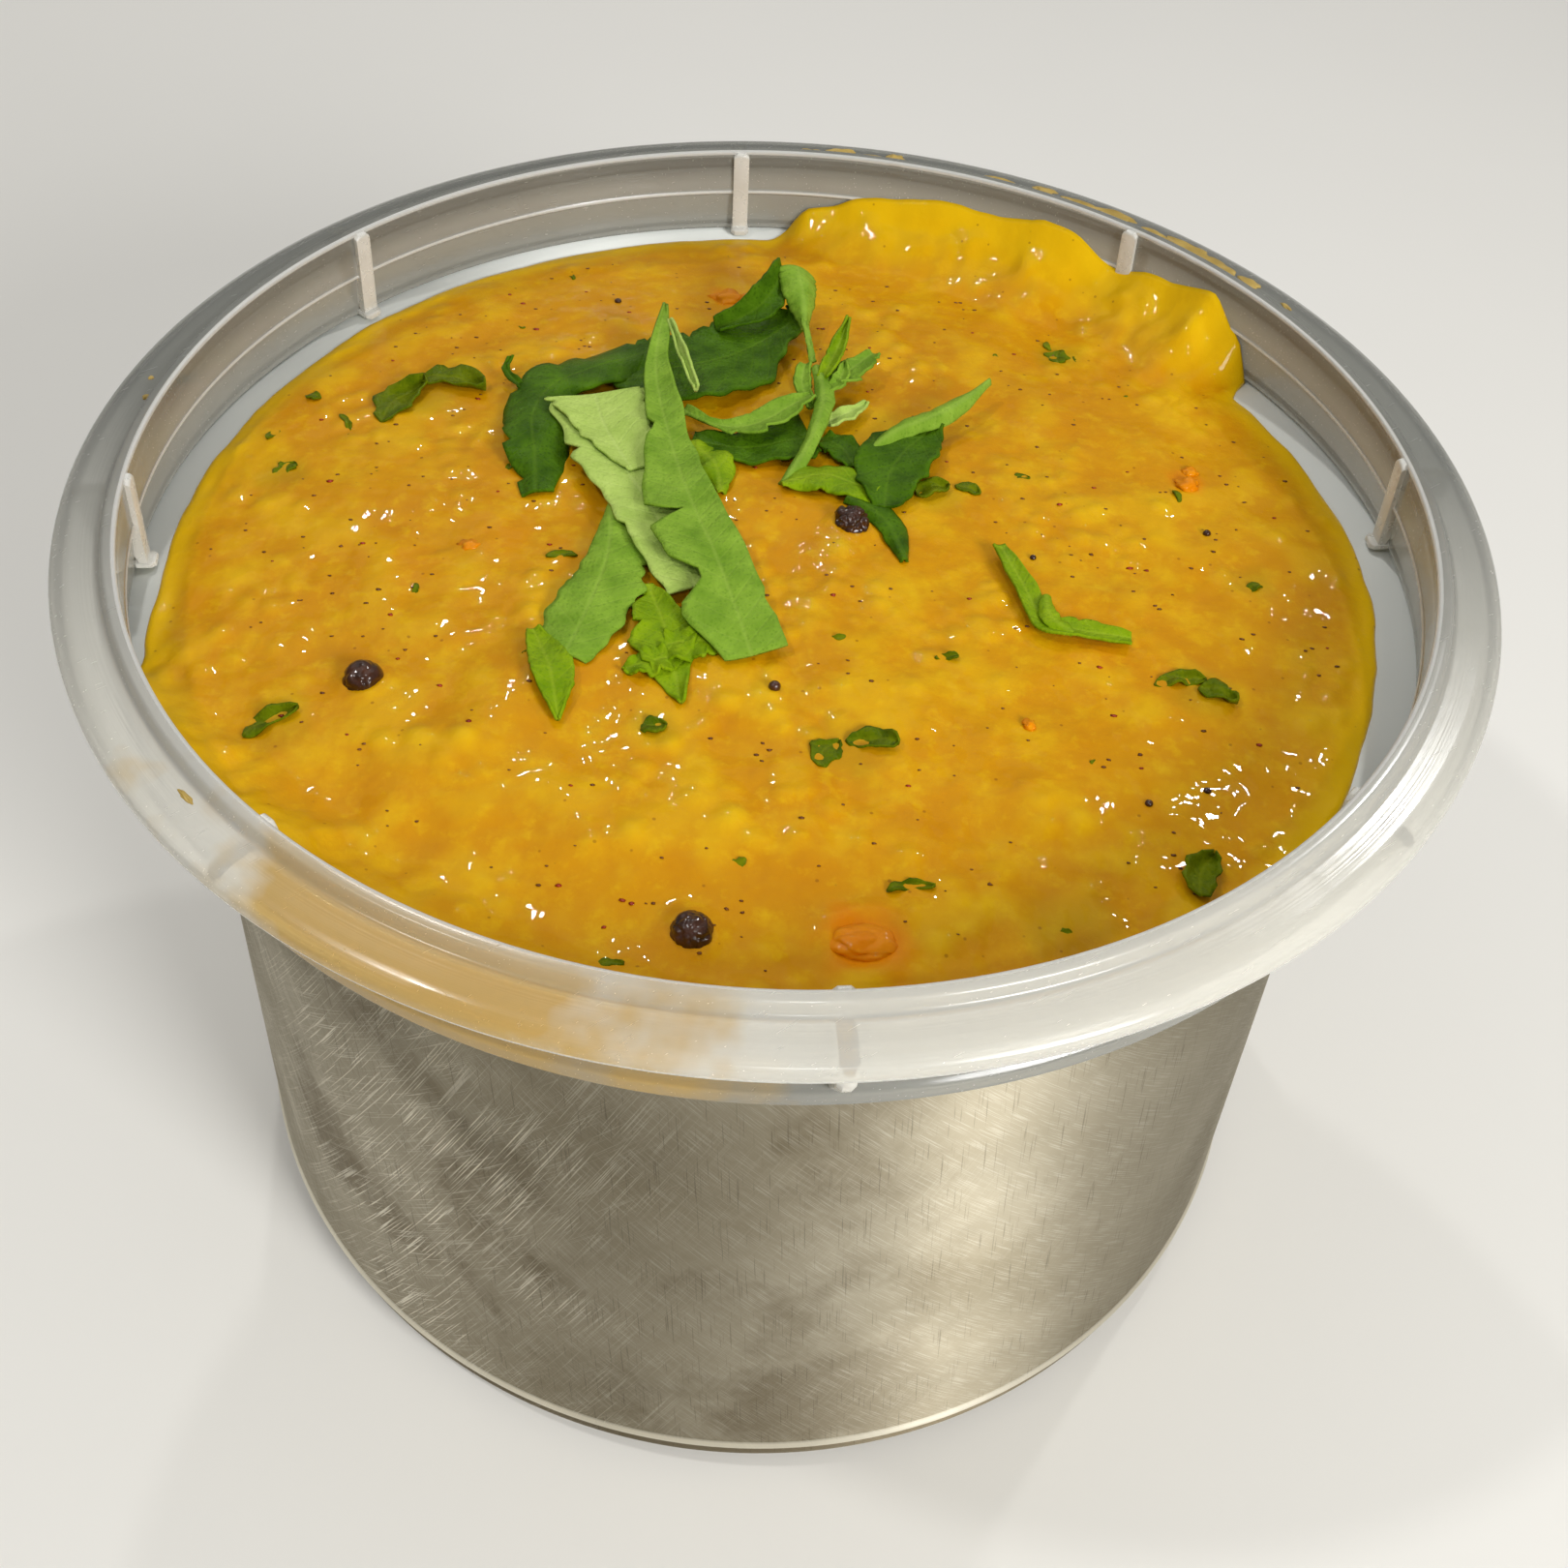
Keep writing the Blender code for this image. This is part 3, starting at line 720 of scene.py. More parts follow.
# How far the dal creeps up past the straight wall, by azimuth in degrees
creepStops = (
    (0, 4.4), (32, 4.6), (36, 13.5), (40, 17.0), (46, 15.4), (52, 13.8), (59, 16.4),
    (70, 15.4), (82, 14.3), (88, 12.2), (93, 5.6), (185, 5.3), (198, 6.6), (206, 10.2),
    (216, 12.8), (228, 14.8), (245, 15.2), (262, 13.8), (276, 12.8), (288, 10.8),
    (300, 8.5), (312, 6.4), (325, 4.6), (344, 4.0), (360, 4.4),
)

# Swells: centre x and y, half length, half width, direction and height
swells = (
    (-27.0, -29.5, 12.0, 4.5, 51, 1.0),
    (1.0, 4.5, 9.0, 3.5, 0, 0.7),
    (30.0, 28.0, 16.0, 7.0, 150, 0.5),
    (22.0, -34.0, 15.0, 7.0, 20, 0.5),
    (-42.0, 6.0, 7.0, 14.0, 100, 0.5),
    (-14.0, -46.0, 10.0, 5.0, 170, 0.5),
)

# Softly tinted places: x, y, reach and how strong
tomatoTints = ((10, -54, 5.5, 1.0), (-8, 49, 3.5, 0.9), (47, 15, 3.0, 0.9), (-38, -8, 5.0, 0.2),
               (-30, -2, 5.0, 0.2), (33, -14, 6.0, 0.2), (-26, 34, 5.0, 0.2))
greenTints = ((-42, 23, 6.0, 0.5), (44, -20, 4.5, 0.5), (8, -32, 5.5, 0.4), (-48, -32, 5.0, 0.4),
              (-56, 8, 4.0, 0.45), (34, 40, 4.0, 0.5), (29, -52, 6.0, 0.4), (-11, -30, 3.5, 0.5),
              (18, 8, 4.5, 0.4), (52, -2, 4.0, 0.3))

floating = ("peppercorn_back", "peppercorn_front", "peppercorn_left", "tomato_piece")
floatPlaces = [middleOf(node) for node in floating]
floatReach = [(boxOf(node)[1] - boxOf(node)[0]).x / 2 for node in floating]


def creepAt(azimuth):
    azimuth = azimuth % 360
    for (low, before), (high, after) in zip(creepStops, creepStops[1:]):
        if azimuth <= high:
            share = softStep(azimuth, low, high)
            return before + (after - before) * share
    return creepStops[-1][1]


def edgePoint(creep):
    # Radius and height where the dal meets the steel and the clear wall, a little into them
    fillet = bowl["flangeFillet"] + bowl["sheet"]
    bend = fillet + dal["gap"]
    centre = (bowl["wallRadius"] + bowl["flangeFillet"], flangeTop - fillet)
    quarter = bend * math.pi / 2
    depth = fillet - dal["intoWall"]
    if creep <= quarter:
        angle = creep / bend
        return centre[0] - depth * math.cos(angle), centre[1] + depth * math.sin(angle)
    wall = rim["innerRadius"] + dal["intoWall"]
    if creep <= dal["climbStart"]:
        share = (creep - quarter) / (dal["climbStart"] - quarter)
        return centre[0] + (wall + 0.5 - centre[0]) * share, centre[1] + depth
    climb = creep - dal["climbStart"]
    lean = 0.5 * (1 - min(climb / 6.0, 1.0))
    return wall + lean, centre[1] + depth + climb


def dalHeight(x, y):
    radius = math.hypot(x, y)
    height = flangeTop + dal["aboveFlange"] + dal["dome"] * (1 - (radius / flangeRadius) ** 2)
    for centreX, centreY, length, width, turn, rise in swells:
        cos, sin = math.cos(math.radians(turn)), math.sin(math.radians(turn))
        along = ((x - centreX) * cos + (y - centreY) * sin) / length
        across = ((y - centreY) * cos - (x - centreX) * sin) / width
        height += rise * math.exp(-(along ** 2 + across ** 2))
    return height


def dalRelief(x, y):
    # Waves, lumps and bits of lentil; gives the height and how much of it is lump
    size, depth = dal["broad"]
    height = depth * wavy(x, y, size, 3.1)
    size, depth = dal["lumps"]
    lump = wavy(x, y, size, 7.7)
    height += depth * lump
    size, depth = dal["curds"]
    patch = softStep(wavy(x, y, 9, 1.4), 0.0, 0.32)
    nearest = noise.voronoi(Vector((x / size, y / size, 0.5)))[0][0]
    curd = patch * softStep(nearest, 0.62, 0.12)
    height += depth * curd
    size, depth = dal["grains"]
    height += depth * wavy(x, y, size, 5.2)
    # The dal creeps up round whatever floats in it
    for place, reach in zip(floatPlaces, floatReach):
        away = math.hypot(x - place.x, y - place.y) - reach
        height += dal["hugRise"] * math.exp(-(away / dal["hugReach"]) ** 2)
    return height, 0.5 * curd + 0.5 * softStep(lump, 0.05, 0.45)


def tintAt(tints, x, y):
    strongest = 0.0
    for centreX, centreY, reach, strength in tints:
        ragged = 1 + 0.5 * wavy(x, y, 3, centreX)
        away = math.hypot(x - centreX, y - centreY) / (reach * ragged)
        strongest = max(strongest, strength * softStep(away, 1.0, 0.25))
    return strongest


dalLook = dict(
    main=paint(205, 148, 2),
    deep=paint(194, 127, 2),
    brown=paint(186, 116, 3),
    pale=paint(222, 180, 14),
    edge=paint(228, 184, 5),
    tomato=paint(222, 116, 3),
    green=paint(128, 118, 12),
    fleck=paint(120, 60, 8),
    sheen=paint(255, 226, 90),
)


def dalMaterial():
    material, tree, shader, place = newMaterial("yellowDal")
    base = mottled(tree, place, 16.0, 0.3, dalLook["deep"], dalLook["main"])["Color"]
    middling = noiseOf(tree, place, 6.5, 4.0, 0.6)
    small = noiseOf(tree, place, 2.2, 5.0, 0.65)
    # Patches: the pattern, where they begin and are full, how strong they are and their tone
    for pattern, low, high, share, tone in (
            (middling, 0.5, 0.68, 0.42, "pale"), (middling, 0.46, 0.3, 0.4, "brown"),
            (small, 0.54, 0.74, 0.5, "pale"), (small, 0.46, 0.3, 0.45, "deep")):
        base = blendColour(tree, spread(tree, pattern, low, high, 0.0, share), base, dalLook[tone])
    # Values kept in the mesh, how strong each is and its tone
    # The edge tone is partly the dal's own yellower edge and partly painted light, lifting the meniscus and
    # the smear up the wall where they turn from the lamps
    for name, share, tone in (("lump", 0.7, "pale"), ("edge", 0.85, "edge"),
                              ("tomato", 0.7, "tomato"), ("green", 0.7, "green")):
        base = blendColour(tree, times(tree, attributeOf(tree, name), share), base, dalLook[tone])
    spots = freckled(tree, place, 1.7, 0.22, 0.13)
    base = blendColour(tree, times(tree, spots, 0.5), base, dalLook["fleck"])
    wet = spread(tree, noiseOf(tree, place, 5.0, 4.0), 0.35, 0.65, 0.45, 0.6)
    grains = noiseOf(tree, place, 1.1, 5.0, 0.6)
    # The wet film over it is smoother than the grains
    film = noiseOf(tree, place, 2.6, 1.0, 0.5)
    fill(tree, shader, {"Base Color": base, "Roughness": wet, "Coat Weight": 0.38, "Coat Roughness": 0.02,
                        "Coat IOR": 1.33, "IOR": 1.3, "Specular Tint": dalLook["sheen"],
                        "Normal": bumpOf(tree, grains, 0.2, 0.5),
                        "Coat Normal": bumpOf(tree, film, 0.5, 0.45)})
    return material


def makeDal():
    turnSteps = dal["turnSteps"]
    ringSteps = dal["ringSteps"]
    bottom = bowl["sheet"] + dal["gap"]
    inner = bowl["wallRadius"] - bottom
    below = [(inner, flangeTop - 8), (inner, 4.0), (inner - 3, bottom)]
    points = [(0.0, 0.0, dalTop(0, 0))]
    lumps, edges = [0.5], [0.0]
    for turn in range(turnSteps):
        azimuth = turn * 360 / turnSteps
        angle = math.radians(azimuth)
        cos, sin = math.cos(angle), math.sin(angle)
        wander = noise.noise(Vector((cos * 9, sin * 9, 0.3)))
        wander += 0.25 * noise.noise(Vector((cos * 28, sin * 28, 4)))
        creep = creepAt(azimuth)
        creep += wander * dal["wanderUp" if creep > dal["climbStart"] else "wander"]
        climb = max(0.0, creep - dal["climbStart"])
        edgeRadius, edgeHeight = edgePoint(creep)
        topRadius = edgeRadius - dal["bluntEdge"]
        plain = dalHeight(topRadius * cos, topRadius * sin)
        meniscus = dal["meniscus"] + dal["rampShare"] * climb
        for ring in range(1, ringSteps + 1):
            radius = topRadius * ring / ringSteps
            x, y = radius * cos, radius * sin
            inset = topRadius - radius
            near = max(0.0, 1.0 - inset / meniscus)
            relief, lump = dalRelief(x, y)
            # The surface is calmer near its edge
            calm = softStep(inset, 0.0, 2.0)
            if edgeHeight - plain >= 1.5:
                calm = 0.35 + 0.65 * softStep(inset, 0, 3)
            heap = min(climb / dal["ridgeClimb"], 1.0) * near * softStep(inset, 0.3, 3.0)
            ridges = sum(rise * wavy(x, y, size, layer)
                         for size, layer, rise in dal["ridges"])
            height = dalHeight(x, y) + (relief + heap * ridges) * calm
            height += (edgeHeight + dal["bluntEdge"] - plain) * near ** 2
            points.append((x, y, height))
            lumps.append(lump)
            edges.append(softStep(inset, dal["edgeBand"] + 0.8 * climb, 0.2))
        # Down the wall from the edge, then to the bottom
        skirt = [edgePoint(creep * share) for share in (1.0, 0.8, 0.6, 0.4, 0.2, 0.0)]
        for radius, height in skirt + below:
            points.append((radius * cos, radius * sin, height))
            lumps.append(0.0)
            edges.append(1.0)
    row = (len(points) - 1) // turnSteps
    points.append((0.0, 0.0, bottom))
    lumps.append(0.0)
    edges.append(0.0)
    faces = []
    for turn in range(turnSteps):
        here = 1 + turn * row
        there = 1 + (turn + 1) % turnSteps * row
        faces.append((0, here, there))
        for ring in range(row - 1):
            faces.append((here + ring, here + ring + 1, there + ring + 1, there + ring))
        faces.append((here + row - 1, len(points) - 1, there + row - 1))
    mesh = meshOf("dalSurface", points, faces)
    addValues(mesh, "lump", lumps)
    addValues(mesh, "edge", edges)
    for name, tints in (("tomato", tomatoTints), ("green", greenTints)):
        addValues(mesh, name, [tintAt(tints, x, y) for x, y, z in points])
    piece = showPiece("dalSurface", mesh, dalMaterial())
    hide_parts("dal")


def dalTop(x, y):
    return dalHeight(x, y) + dalRelief(x, y)[0]


makeDal()
print("dal poured")


# Coriander leaves

def leafTones(dark, light, vein, gloss):
    return dict(dark=paint(*dark), light=paint(*light), vein=paint(*vein), gloss=gloss)


leafColours = dict(
    green=leafTones((90, 128, 26), (144, 178, 60), (164, 190, 84), 0.5),
    dark=leafTones((30, 60, 4), (84, 122, 16), (104, 136, 34), 0.4),
    pale=leafTones((152, 180, 78), (186, 208, 110), (202, 218, 136), 0.65),
    bright=leafTones((88, 124, 4), (144, 170, 20), (172, 190, 56), 0.4),
    sunken=leafTones((52, 78, 4), (112, 122, 8), (140, 146, 24), 0.3),
)
# Each blade: rib points (x, y and lift from the dal), half widths on its left and right as it
# runs from first point to last, and where wanted a roll in degrees, cup, ripple or teeth
leaves = {
    "darkBackLeaf": dict(node="leaf_dark_back", slot="leaf_dark", colour="dark", blades=(
        dict(rib=((-11, -7.5, 0.9), (-4.5, -4, 1.0), (2, -1, 1.0), (7, 3.5, 1.4), (11, 8, 2.2)),
             left=(1.8, 6.6, 6.6, 5.0, 2.0), right=(2.0, 6.8, 7.6, 3.6, 1.6), ripple=0.4, cup=0.4,
             teeth=("left", 0.2, 0.95, 4, 1.3)),
        dict(rib=((0.6, 4.4, 1.8), (5.8, 7.4, 3.6), (8.4, 13.2, 5.6)), left=(0.8, 1.6, 0.8),
             right=(1.4, 2.6, 2.4), cup=1.2, roll=(10, 30, 45)),
    )),
    "darkLeftLeaf": dict(node="leaf_dark_left", slot="leaf_dark", colour="dark", blades=(
        dict(rib=((-3, -15, 0.5), (-4, -8.5, 1.2), (-5, -2, 1.8), (-3.4, 4.2, 1.8), (1.6, 8.8, 1.6),
                  (8, 13, 1.6)),
             left=(1.6, 3.4, 3.6, 4.0, 4.4, 3.0), right=(1.9, 3.5, 3.6, 3.0, 3.6, 2.8), ripple=0.6, cup=-0.6,
             teeth=("left", 0.1, 0.95, 6, 1.0)),
        dict(rib=((-7.0, 4.0, 1.4), (-9.4, 7.0, 1.8), (-9.0, 9.0, 2.4)), left=(0.5, 0.4, 0.2),
             right=(0.5, 0.4, 0.2)),
    )),
    "twistedLeaf": dict(node="leaf_twisted", slot="leaf_green", colour="green", blades=(
        dict(rib=((-0.4, 9.4, 6.2), (0.5, 4.8, 5.2), (1.0, -0.4, 4.0)), left=(2.6, 1.7, 0.3),
             right=(2.6, 2.2, 0.3), cup=-1.2, roll=(-20, -10, 0)),
        dict(rib=((0.9, 0.2, 4.1), (1.6, -4.0, 3.6), (2.2, -8.4, 3.2)), left=(0.35, 0.35, 0.4),
             right=(0.35, 0.35, 0.4), cup=0.0),
    )),
    # A leaf lying low under the others; its dark tones are partly its own colour and partly painted shade
    # from the leaves above
    "underLeaf": dict(node="leaf_under", slot="leaf_dark", colour="dark", blades=(
        dict(rib=((-9, 2.6, 0.6), (-2.5, 1.6, 0.7), (4.6, 4.4, 0.7)), left=(1.6, 3.0, 4.4),
             right=(1.2, 3.0, 3.6), ripple=0.3),
        dict(rib=((6, 4.4, 0.6), (8.2, 2.4, 0.8), (9.6, -0.8, 0.6)), left=(1.2, 2.0, 1.0),
             right=(1.4, 2.0, 0.9), ripple=0.3),
    )),
    "yellowLeaf": dict(node="leaf_yellow", slot="leaf_bright", colour="bright", blades=(
        dict(rib=((-2.2, 4, 1.2), (0.8, 0.4, 1.2), (2.0, -4.4, 0.6)), left=(1.0, 2.4, 0.4),
             right=(0.9, 1.7, 0.4), ripple=0.3, cup=-0.4),
    )),
    "curvedLeaf": dict(node="leaf_curved", slot="leaf_green", colour="green", blades=(
        dict(rib=((-7.0, 0.0, 1.3), (-3.4, -2.8, 1.6), (1.0, -3.3, 1.9), (4.6, -0.6, 2.3), (7.9, 2.2, 2.8)),
             left=(0.8, 0.8, 1.7, 1.9, 0.6), right=(0.8, 0.7, 2.2, 1.9, 0.8), cup=0.5,
             teeth=("right", 0.35, 0.9, 2, 0.7)),
    )),
    "lowerLeftLeaf": dict(node="leaf_lower_left", slot="leaf_green", colour="green", blades=(
        dict(rib=((0.6, 12, 1.7), (1.0, 3, 1.5), (0.0, -4, 1.2), (-1.8, -12.4, 0.7)),
             left=(0.3, 1.8, 4.2, 4.8, 4.4, 3.8, 2.2), right=(0.3, 1.2, 2.2, 3.0, 3.8, 4.0, 2.0),
             cup=-0.4, ripple=0.15, teeth=("left", 0.1, 0.95, 3, 0.9)),
    )),
    "tipLeaf": dict(node="leaf_tip", slot="leaf_bright", colour="bright", blades=(
        dict(rib=((-2.0, 6.2, 0.8), (0.5, 0.0, 0.9), (2.0, -6.0, 0.4)), left=(0.7, 2.5, 0.2),
             right=(0.7, 1.9, 0.2), cup=0.4),
    )),
    "curlyLeaf": dict(node="leaf_curly", slot="leaf_green", colour="bright", blades=(
        dict(rib=((-2.5, 8.0, 0.9), (-0.6, 2.6, 0.7), (0.7, -2.4, 0.5), (2.2, -8.6, 0.3)),
             left=(0.5, 2.0, 3.2, 1.8, 0.3), right=(0.8, 2.8, 4.0, 2.4, 0.3), ripple=0.4,
             teeth=("right", 0.1, 0.9, 4, 1.0)),
        dict(rib=((0.0, -0.8, 0.7), (3.4, -0.2, 0.9), (6.8, 0.0, 0.4)), left=(1.6, 1.7, 0.3),
             right=(2.2, 2.8, 0.3), ripple=0.4, teeth=("right", 0.3, 1.0, 2, 0.8)),
        dict(rib=((0.6, -2.6, 0.5), (-1.8, -3.8, 0.7), (-4.0, -4.4, 0.3)), left=(1.8, 1.9, 0.4),
             right=(1.8, 1.8, 0.4), ripple=0.4, teeth=("left", 0.2, 1.0, 2, 0.6)),
    )),
    "paleLeaf": dict(node="leaf_pale", slot="leaf_pale", colour="pale", blades=(
        dict(rib=((-6, 17.8, 2.2), (-3, 7, 2.1), (2, -2.6, 1.9), (7.7, -15, 1.4)),
             left=(5.8, 6.0, 5.6, 5.2, 3.6), right=(5.8, 5.0, 4.2, 4.0, 3.2), cup=0.2, ripple=0.25,
             slits=(("right", 0.3, 0.03, 1.6), ("right", 0.72, 0.02, 0.8), ("left", 0.93, 0.03, 1.4))),
        dict(rib=((-6.2, 17.2, 2.7), (-4.2, 10.5, 2.6), (-0.6, 3.0, 2.4)),
             left=(5.2, 5.6, 4.6, 2.6), right=(5.6, 4.0, 2.2, 0.5), cup=0.3),
    )),
    "longLeaf": dict(node="leaf_long", slot="leaf_green", colour="green", blades=(
        dict(rib=((-8, 31, 4.8), (-8.2, 19, 3.8), (-6, 7, 3.3), (-3, -4, 3.1), (1, -15, 2.8),
                  (5.4, -27.6, 1.0)),
             left=(0.2, 1.1, 1.5, 2.2, 2.3, 2.6, 2.8, 3.0, 3.4, 4.0, 3.6),
             right=(0.2, 0.6, 1.4, 1.6, 2.2, 3.6, 5.0, 5.2, 5.4, 5.4, 3.0), cup=0.3, ripple=0.25,
             slits=(("right", 0.4, 0.02, 1.2), ("right", 0.66, 0.03, 4.4), ("right", 0.83, 0.05, 3.6),
                    ("left", 0.9, 0.02, 0.8))),
        dict(rib=((-7.2, 27.5, 4.4), (-5.4, 21.5, 3.6), (-3.2, 15.5, 2.6)), left=(0.2, 0.7, 0.3),
             right=(0.2, 0.4, 0.3), cup=0.8, roll=(30, 40, 20), colour="pale"),
    )),
    "stemSprig": dict(node="leaf_stem", slot="leaf_green", colour="green", blades=(
        dict(rib=((-2.3, -8.3, 0.8), (0, -3.5, 2.0), (1.3, 1.0, 3.0), (1.8, 6, 3.3), (0.9, 11.8, 3.4)),
             left=(0.5, 0.7, 0.8, 0.9, 0.5), right=(0.5, 0.9, 1.0, 1.3, 0.6), cup=-0.5),
        dict(rib=((-0.4, 12.4, 3.1), (-0.7, 9, 2.6), (0.4, 4.6, 2.0)), left=(0.6, 1.0, 0.4),
             right=(0.7, 1.0, 0.4), cup=0.4),
    )),
    "tallFork": dict(node="leaf_fork_tall", slot="leaf_bright", colour="bright", blades=(
        dict(rib=((-1.7, -7.8, 3.2), (-0.2, -3, 3.7), (1.3, 3.6, 4.6)), left=(0.6, 1.0, 0.2),
             right=(0.7, 1.0, 0.2), cup=0.6),
    )),
    "rightFork": dict(node="leaf_fork_right", slot="leaf_green", colour="green", blades=(
        dict(rib=((-3.5, -3.2, 2.7), (-0.9, 1.0, 2.6), (2.3, 5.8, 2.4)), left=(0.8, 1.7, 0.7),
             right=(0.8, 2.3, 1.0), cup=0.5, teeth=("right", 0.2, 0.9, 2, 0.8)),
        dict(rib=((-3.2, -3.4, 2.4), (-1.6, -0.6, 2.8), (-1.2, 2.4, 3.0)), left=(0.5, 0.9, 0.2),
             right=(0.5, 0.9, 0.2), cup=0.6),
    )),
    "smallLeaf": dict(node="leaf_small", slot="leaf_pale", colour="pale", blades=(
        dict(rib=((-2.5, 1.2, 1.2), (-0.2, 3.2, 1.4), (2.3, 6.0, 1.2)), left=(0.9, 1.1, 0.2),
             right=(1.0, 1.4, 0.3), cup=0.4),
    )),
    "bandLeaf": dict(node="leaf_band", slot="leaf_bright", colour="bright", blades=(
        dict(rib=((-6.4, -0.4, 1.0), (-1.5, 1.2, 1.4), (4.2, -1.0, 1.1)), left=(0.4, 2.5, 2.6, 1.6),
             right=(0.4, 2.3, 2.6, 2.0), cup=-0.5, ripple=0.3),
    )),
    # The main face takes the dark tones, painted shade in the hollow under its fold; the folded strip on top
    # takes the green ones
    "rightLeaf": dict(node="leaf_right", slot="leaf_dark", colour="dark", blades=(
        dict(rib=((-5.0, -13, 0.9), (-4.0, -6, 1.4), (0.8, 2.0, 1.8)), left=(1.4, 3.6, 4.6, 1.4),
             right=(1.6, 3.6, 3.8, 1.2), cup=0.5, ripple=0.4),
        dict(rib=((-8.0, -5, 1.6), (-3.4, -0.2, 2.6), (1.6, 2.9, 3.1), (7.4, 9.6, 3.6)),
             left=(0.3, 1.1, 1.4, 0.2), right=(0.3, 0.8, 1.2, 0.2), cup=-0.7, roll=(0, 12, 12, 0),
             colour="green"),
    )),
    "rightLowerLeaf": dict(node="leaf_right_lower", slot="leaf_green", colour="dark", blades=(
        dict(rib=((-4.3, 4.2, 1.1), (0.0, 1.0, 0.9), (2.1, -4.8, 0.5)), left=(0.5, 1.9, 0.3),
             right=(0.6, 1.3, 0.4), cup=-0.5),
    )),
    "stripLeaf": dict(node="leaf_strip", slot="leaf_bright", colour="bright", blades=(
        dict(rib=((-6.2, 6.4, 0.9), (-4.2, 1.0, 0.9), (-2.0, -5.0, 0.9), (1.4, -6.2, 0.9), (7.0, -6.6, 0.6)),
             left=(0.7, 1.1, 1.5, 1.3, 1.9, 0.7), right=(0.7, 1.0, 1.3, 1.7, 0.9, 1.1), cup=0.3,
             teeth=("left", 0.6, 1.0, 3, 0.5)),
        dict(rib=((-1.7, -1.6, 1.3), (-1.4, -5.2, 1.5), (0.8, -7.0, 1.2)), left=(0.4, 1.0, 0.5),
             right=(0.4, 1.0, 0.4), cup=-0.3),
    )),
}
leafSheet = dict(thickness=0.32, steps=56, halfStrips=7, leastWidth=0.12, ragged=0.16, waves=17, uneven=0.25,
                 sunk=-0.2, toothDrift=0.5, leastTooth=0.4, toothUneven=1.6)


def leafMaterial(name):
    tones = leafColours[name]
    material, tree, shader, place = newMaterial(name + "Coriander")
    along, across = (attributeOf(tree, kind) for kind in ("along", "across"))
    lines = useGroup(tree, veins, {"Along": along, "Across": across, "Spacing": 2.4, "Slant": 0.8})
    base = mottled(tree, place, 3.2, 0.35, tones["dark"], tones["light"])["Color"]
    speckled = freckled(tree, place, 0.42, 0.55, 0.42)
    base = blendColour(tree, times(tree, speckled, 0.4), base, tones["dark"])
    base = blendColour(tree, times(tree, lines["Mask"], 0.2), base, tones["vein"])
    patches = noiseOf(tree, place, 3.0, 3.0)
    gloss = spread(tree, patches, 0.35, 0.65, tones["gloss"] - 0.08, tones["gloss"] + 0.1)
    relief = calc(tree, "ADD", lines["Relief"], times(tree, noiseOf(tree, place, 0.6, 4.0), 4.0))
    fill(tree, shader, {"Base Color": base, "Roughness": gloss, "Specular IOR Level": 0.28,
                        "Specular Tint": tones["vein"], "Normal": bumpOf(tree, relief, 0.08, 0.6)})
    return material


def toothCut(blade, side, along):
    # Depth of the slits and of the uneven saw teeth at a place along a blade's edge
    cut = 0.0
    for slitSide, at, width, depth in blade.get("slits", ()):
        if slitSide == side:
            cut = max(cut, depth * max(0.0, 1 - abs(along - at) / width))
    if blade.get("teeth", ("",))[0] != side:
        return cut
    start, end, count, depth = blade["teeth"][1:]
    if not start < along < end:
        return cut
    place = (along - start) / (end - start) * count
    place += leafSheet["toothDrift"] * noise.noise(Vector((place * 1.3, depth, count)))
    tooth = math.floor(place)
    uneven = leafSheet["toothUneven"] * abs(noise.noise(Vector((tooth * 3.7, depth, 1.3))))
    return max(cut, depth * (leafSheet["leastTooth"] + uneven) * (1 - place + tooth) ** 3)


def bladePoints(blade, middle, phase):
    # Grid of a blade's middle surface, with how far along and across each point is
    steps = leafSheet["steps"]
    half = leafSheet["halfStrips"]
    rib = blade["rib"]
    length = sum((Vector(b) - Vector(a)).length for a, b in zip(rib, rib[1:]))
    points, alongs, acrosses = [], [], []
    for step in range(steps + 1):
        along = step / steps
        spine = smoothAt(rib, along)
        ahead = smoothAt(rib, along + 0.02) - smoothAt(rib, along - 0.02)
        side = Vector((-ahead.y, ahead.x)).normalized()
        roll = math.radians(valueAt(blade.get("roll", (0, 0)), along))
        widths = {}
        for edge in ("left", "right"):
            ragged = leafSheet["ragged"] * noise.noise(Vector((along * 14, phase, len(edge))))
            cut = toothCut(blade, edge, along)
            widths[edge] = max(valueAt(blade[edge], along) * (1 + ragged) - cut, leafSheet["leastWidth"])
        for strip in range(-half, half + 1):
            share = strip / half
            reach = share * widths["left" if share > 0 else "right"]
            x = middle.x + spine.x + side.x * reach * math.cos(roll)
            y = middle.y + spine.y + side.y * reach * math.cos(roll)
            lift = spine.z + reach * math.sin(roll) + blade.get("cup", 0.3) * share ** 2
            wave = math.sin(along * leafSheet["waves"] + phase + (2 if share > 0 else 0))
            lift += blade.get("ripple", 0.15) * abs(share) ** 1.5 * wave
            lift += leafSheet["uneven"] * wavy(x, y, 4, phase)
            points.append((x, y, dalHeight(x, y) + max(lift, leafSheet["sunk"])))
            alongs.append(along * length)
            acrosses.append(reach)
    return points, alongs, acrosses


def bladeSheet(name, points, faces, alongs, acrosses, thickness):
    # Piece made of thin blades, from their middle surfaces
    mesh = meshOf(name, points, faces)
    addValues(mesh, "along", alongs)
    addValues(mesh, "across", acrosses)
    piece = showPiece(name, mesh, None)
    sheet = piece.modifiers.new("blade", "SOLIDIFY")
    sheet.thickness = thickness * mm
    sheet.offset = 0.0
    return piece


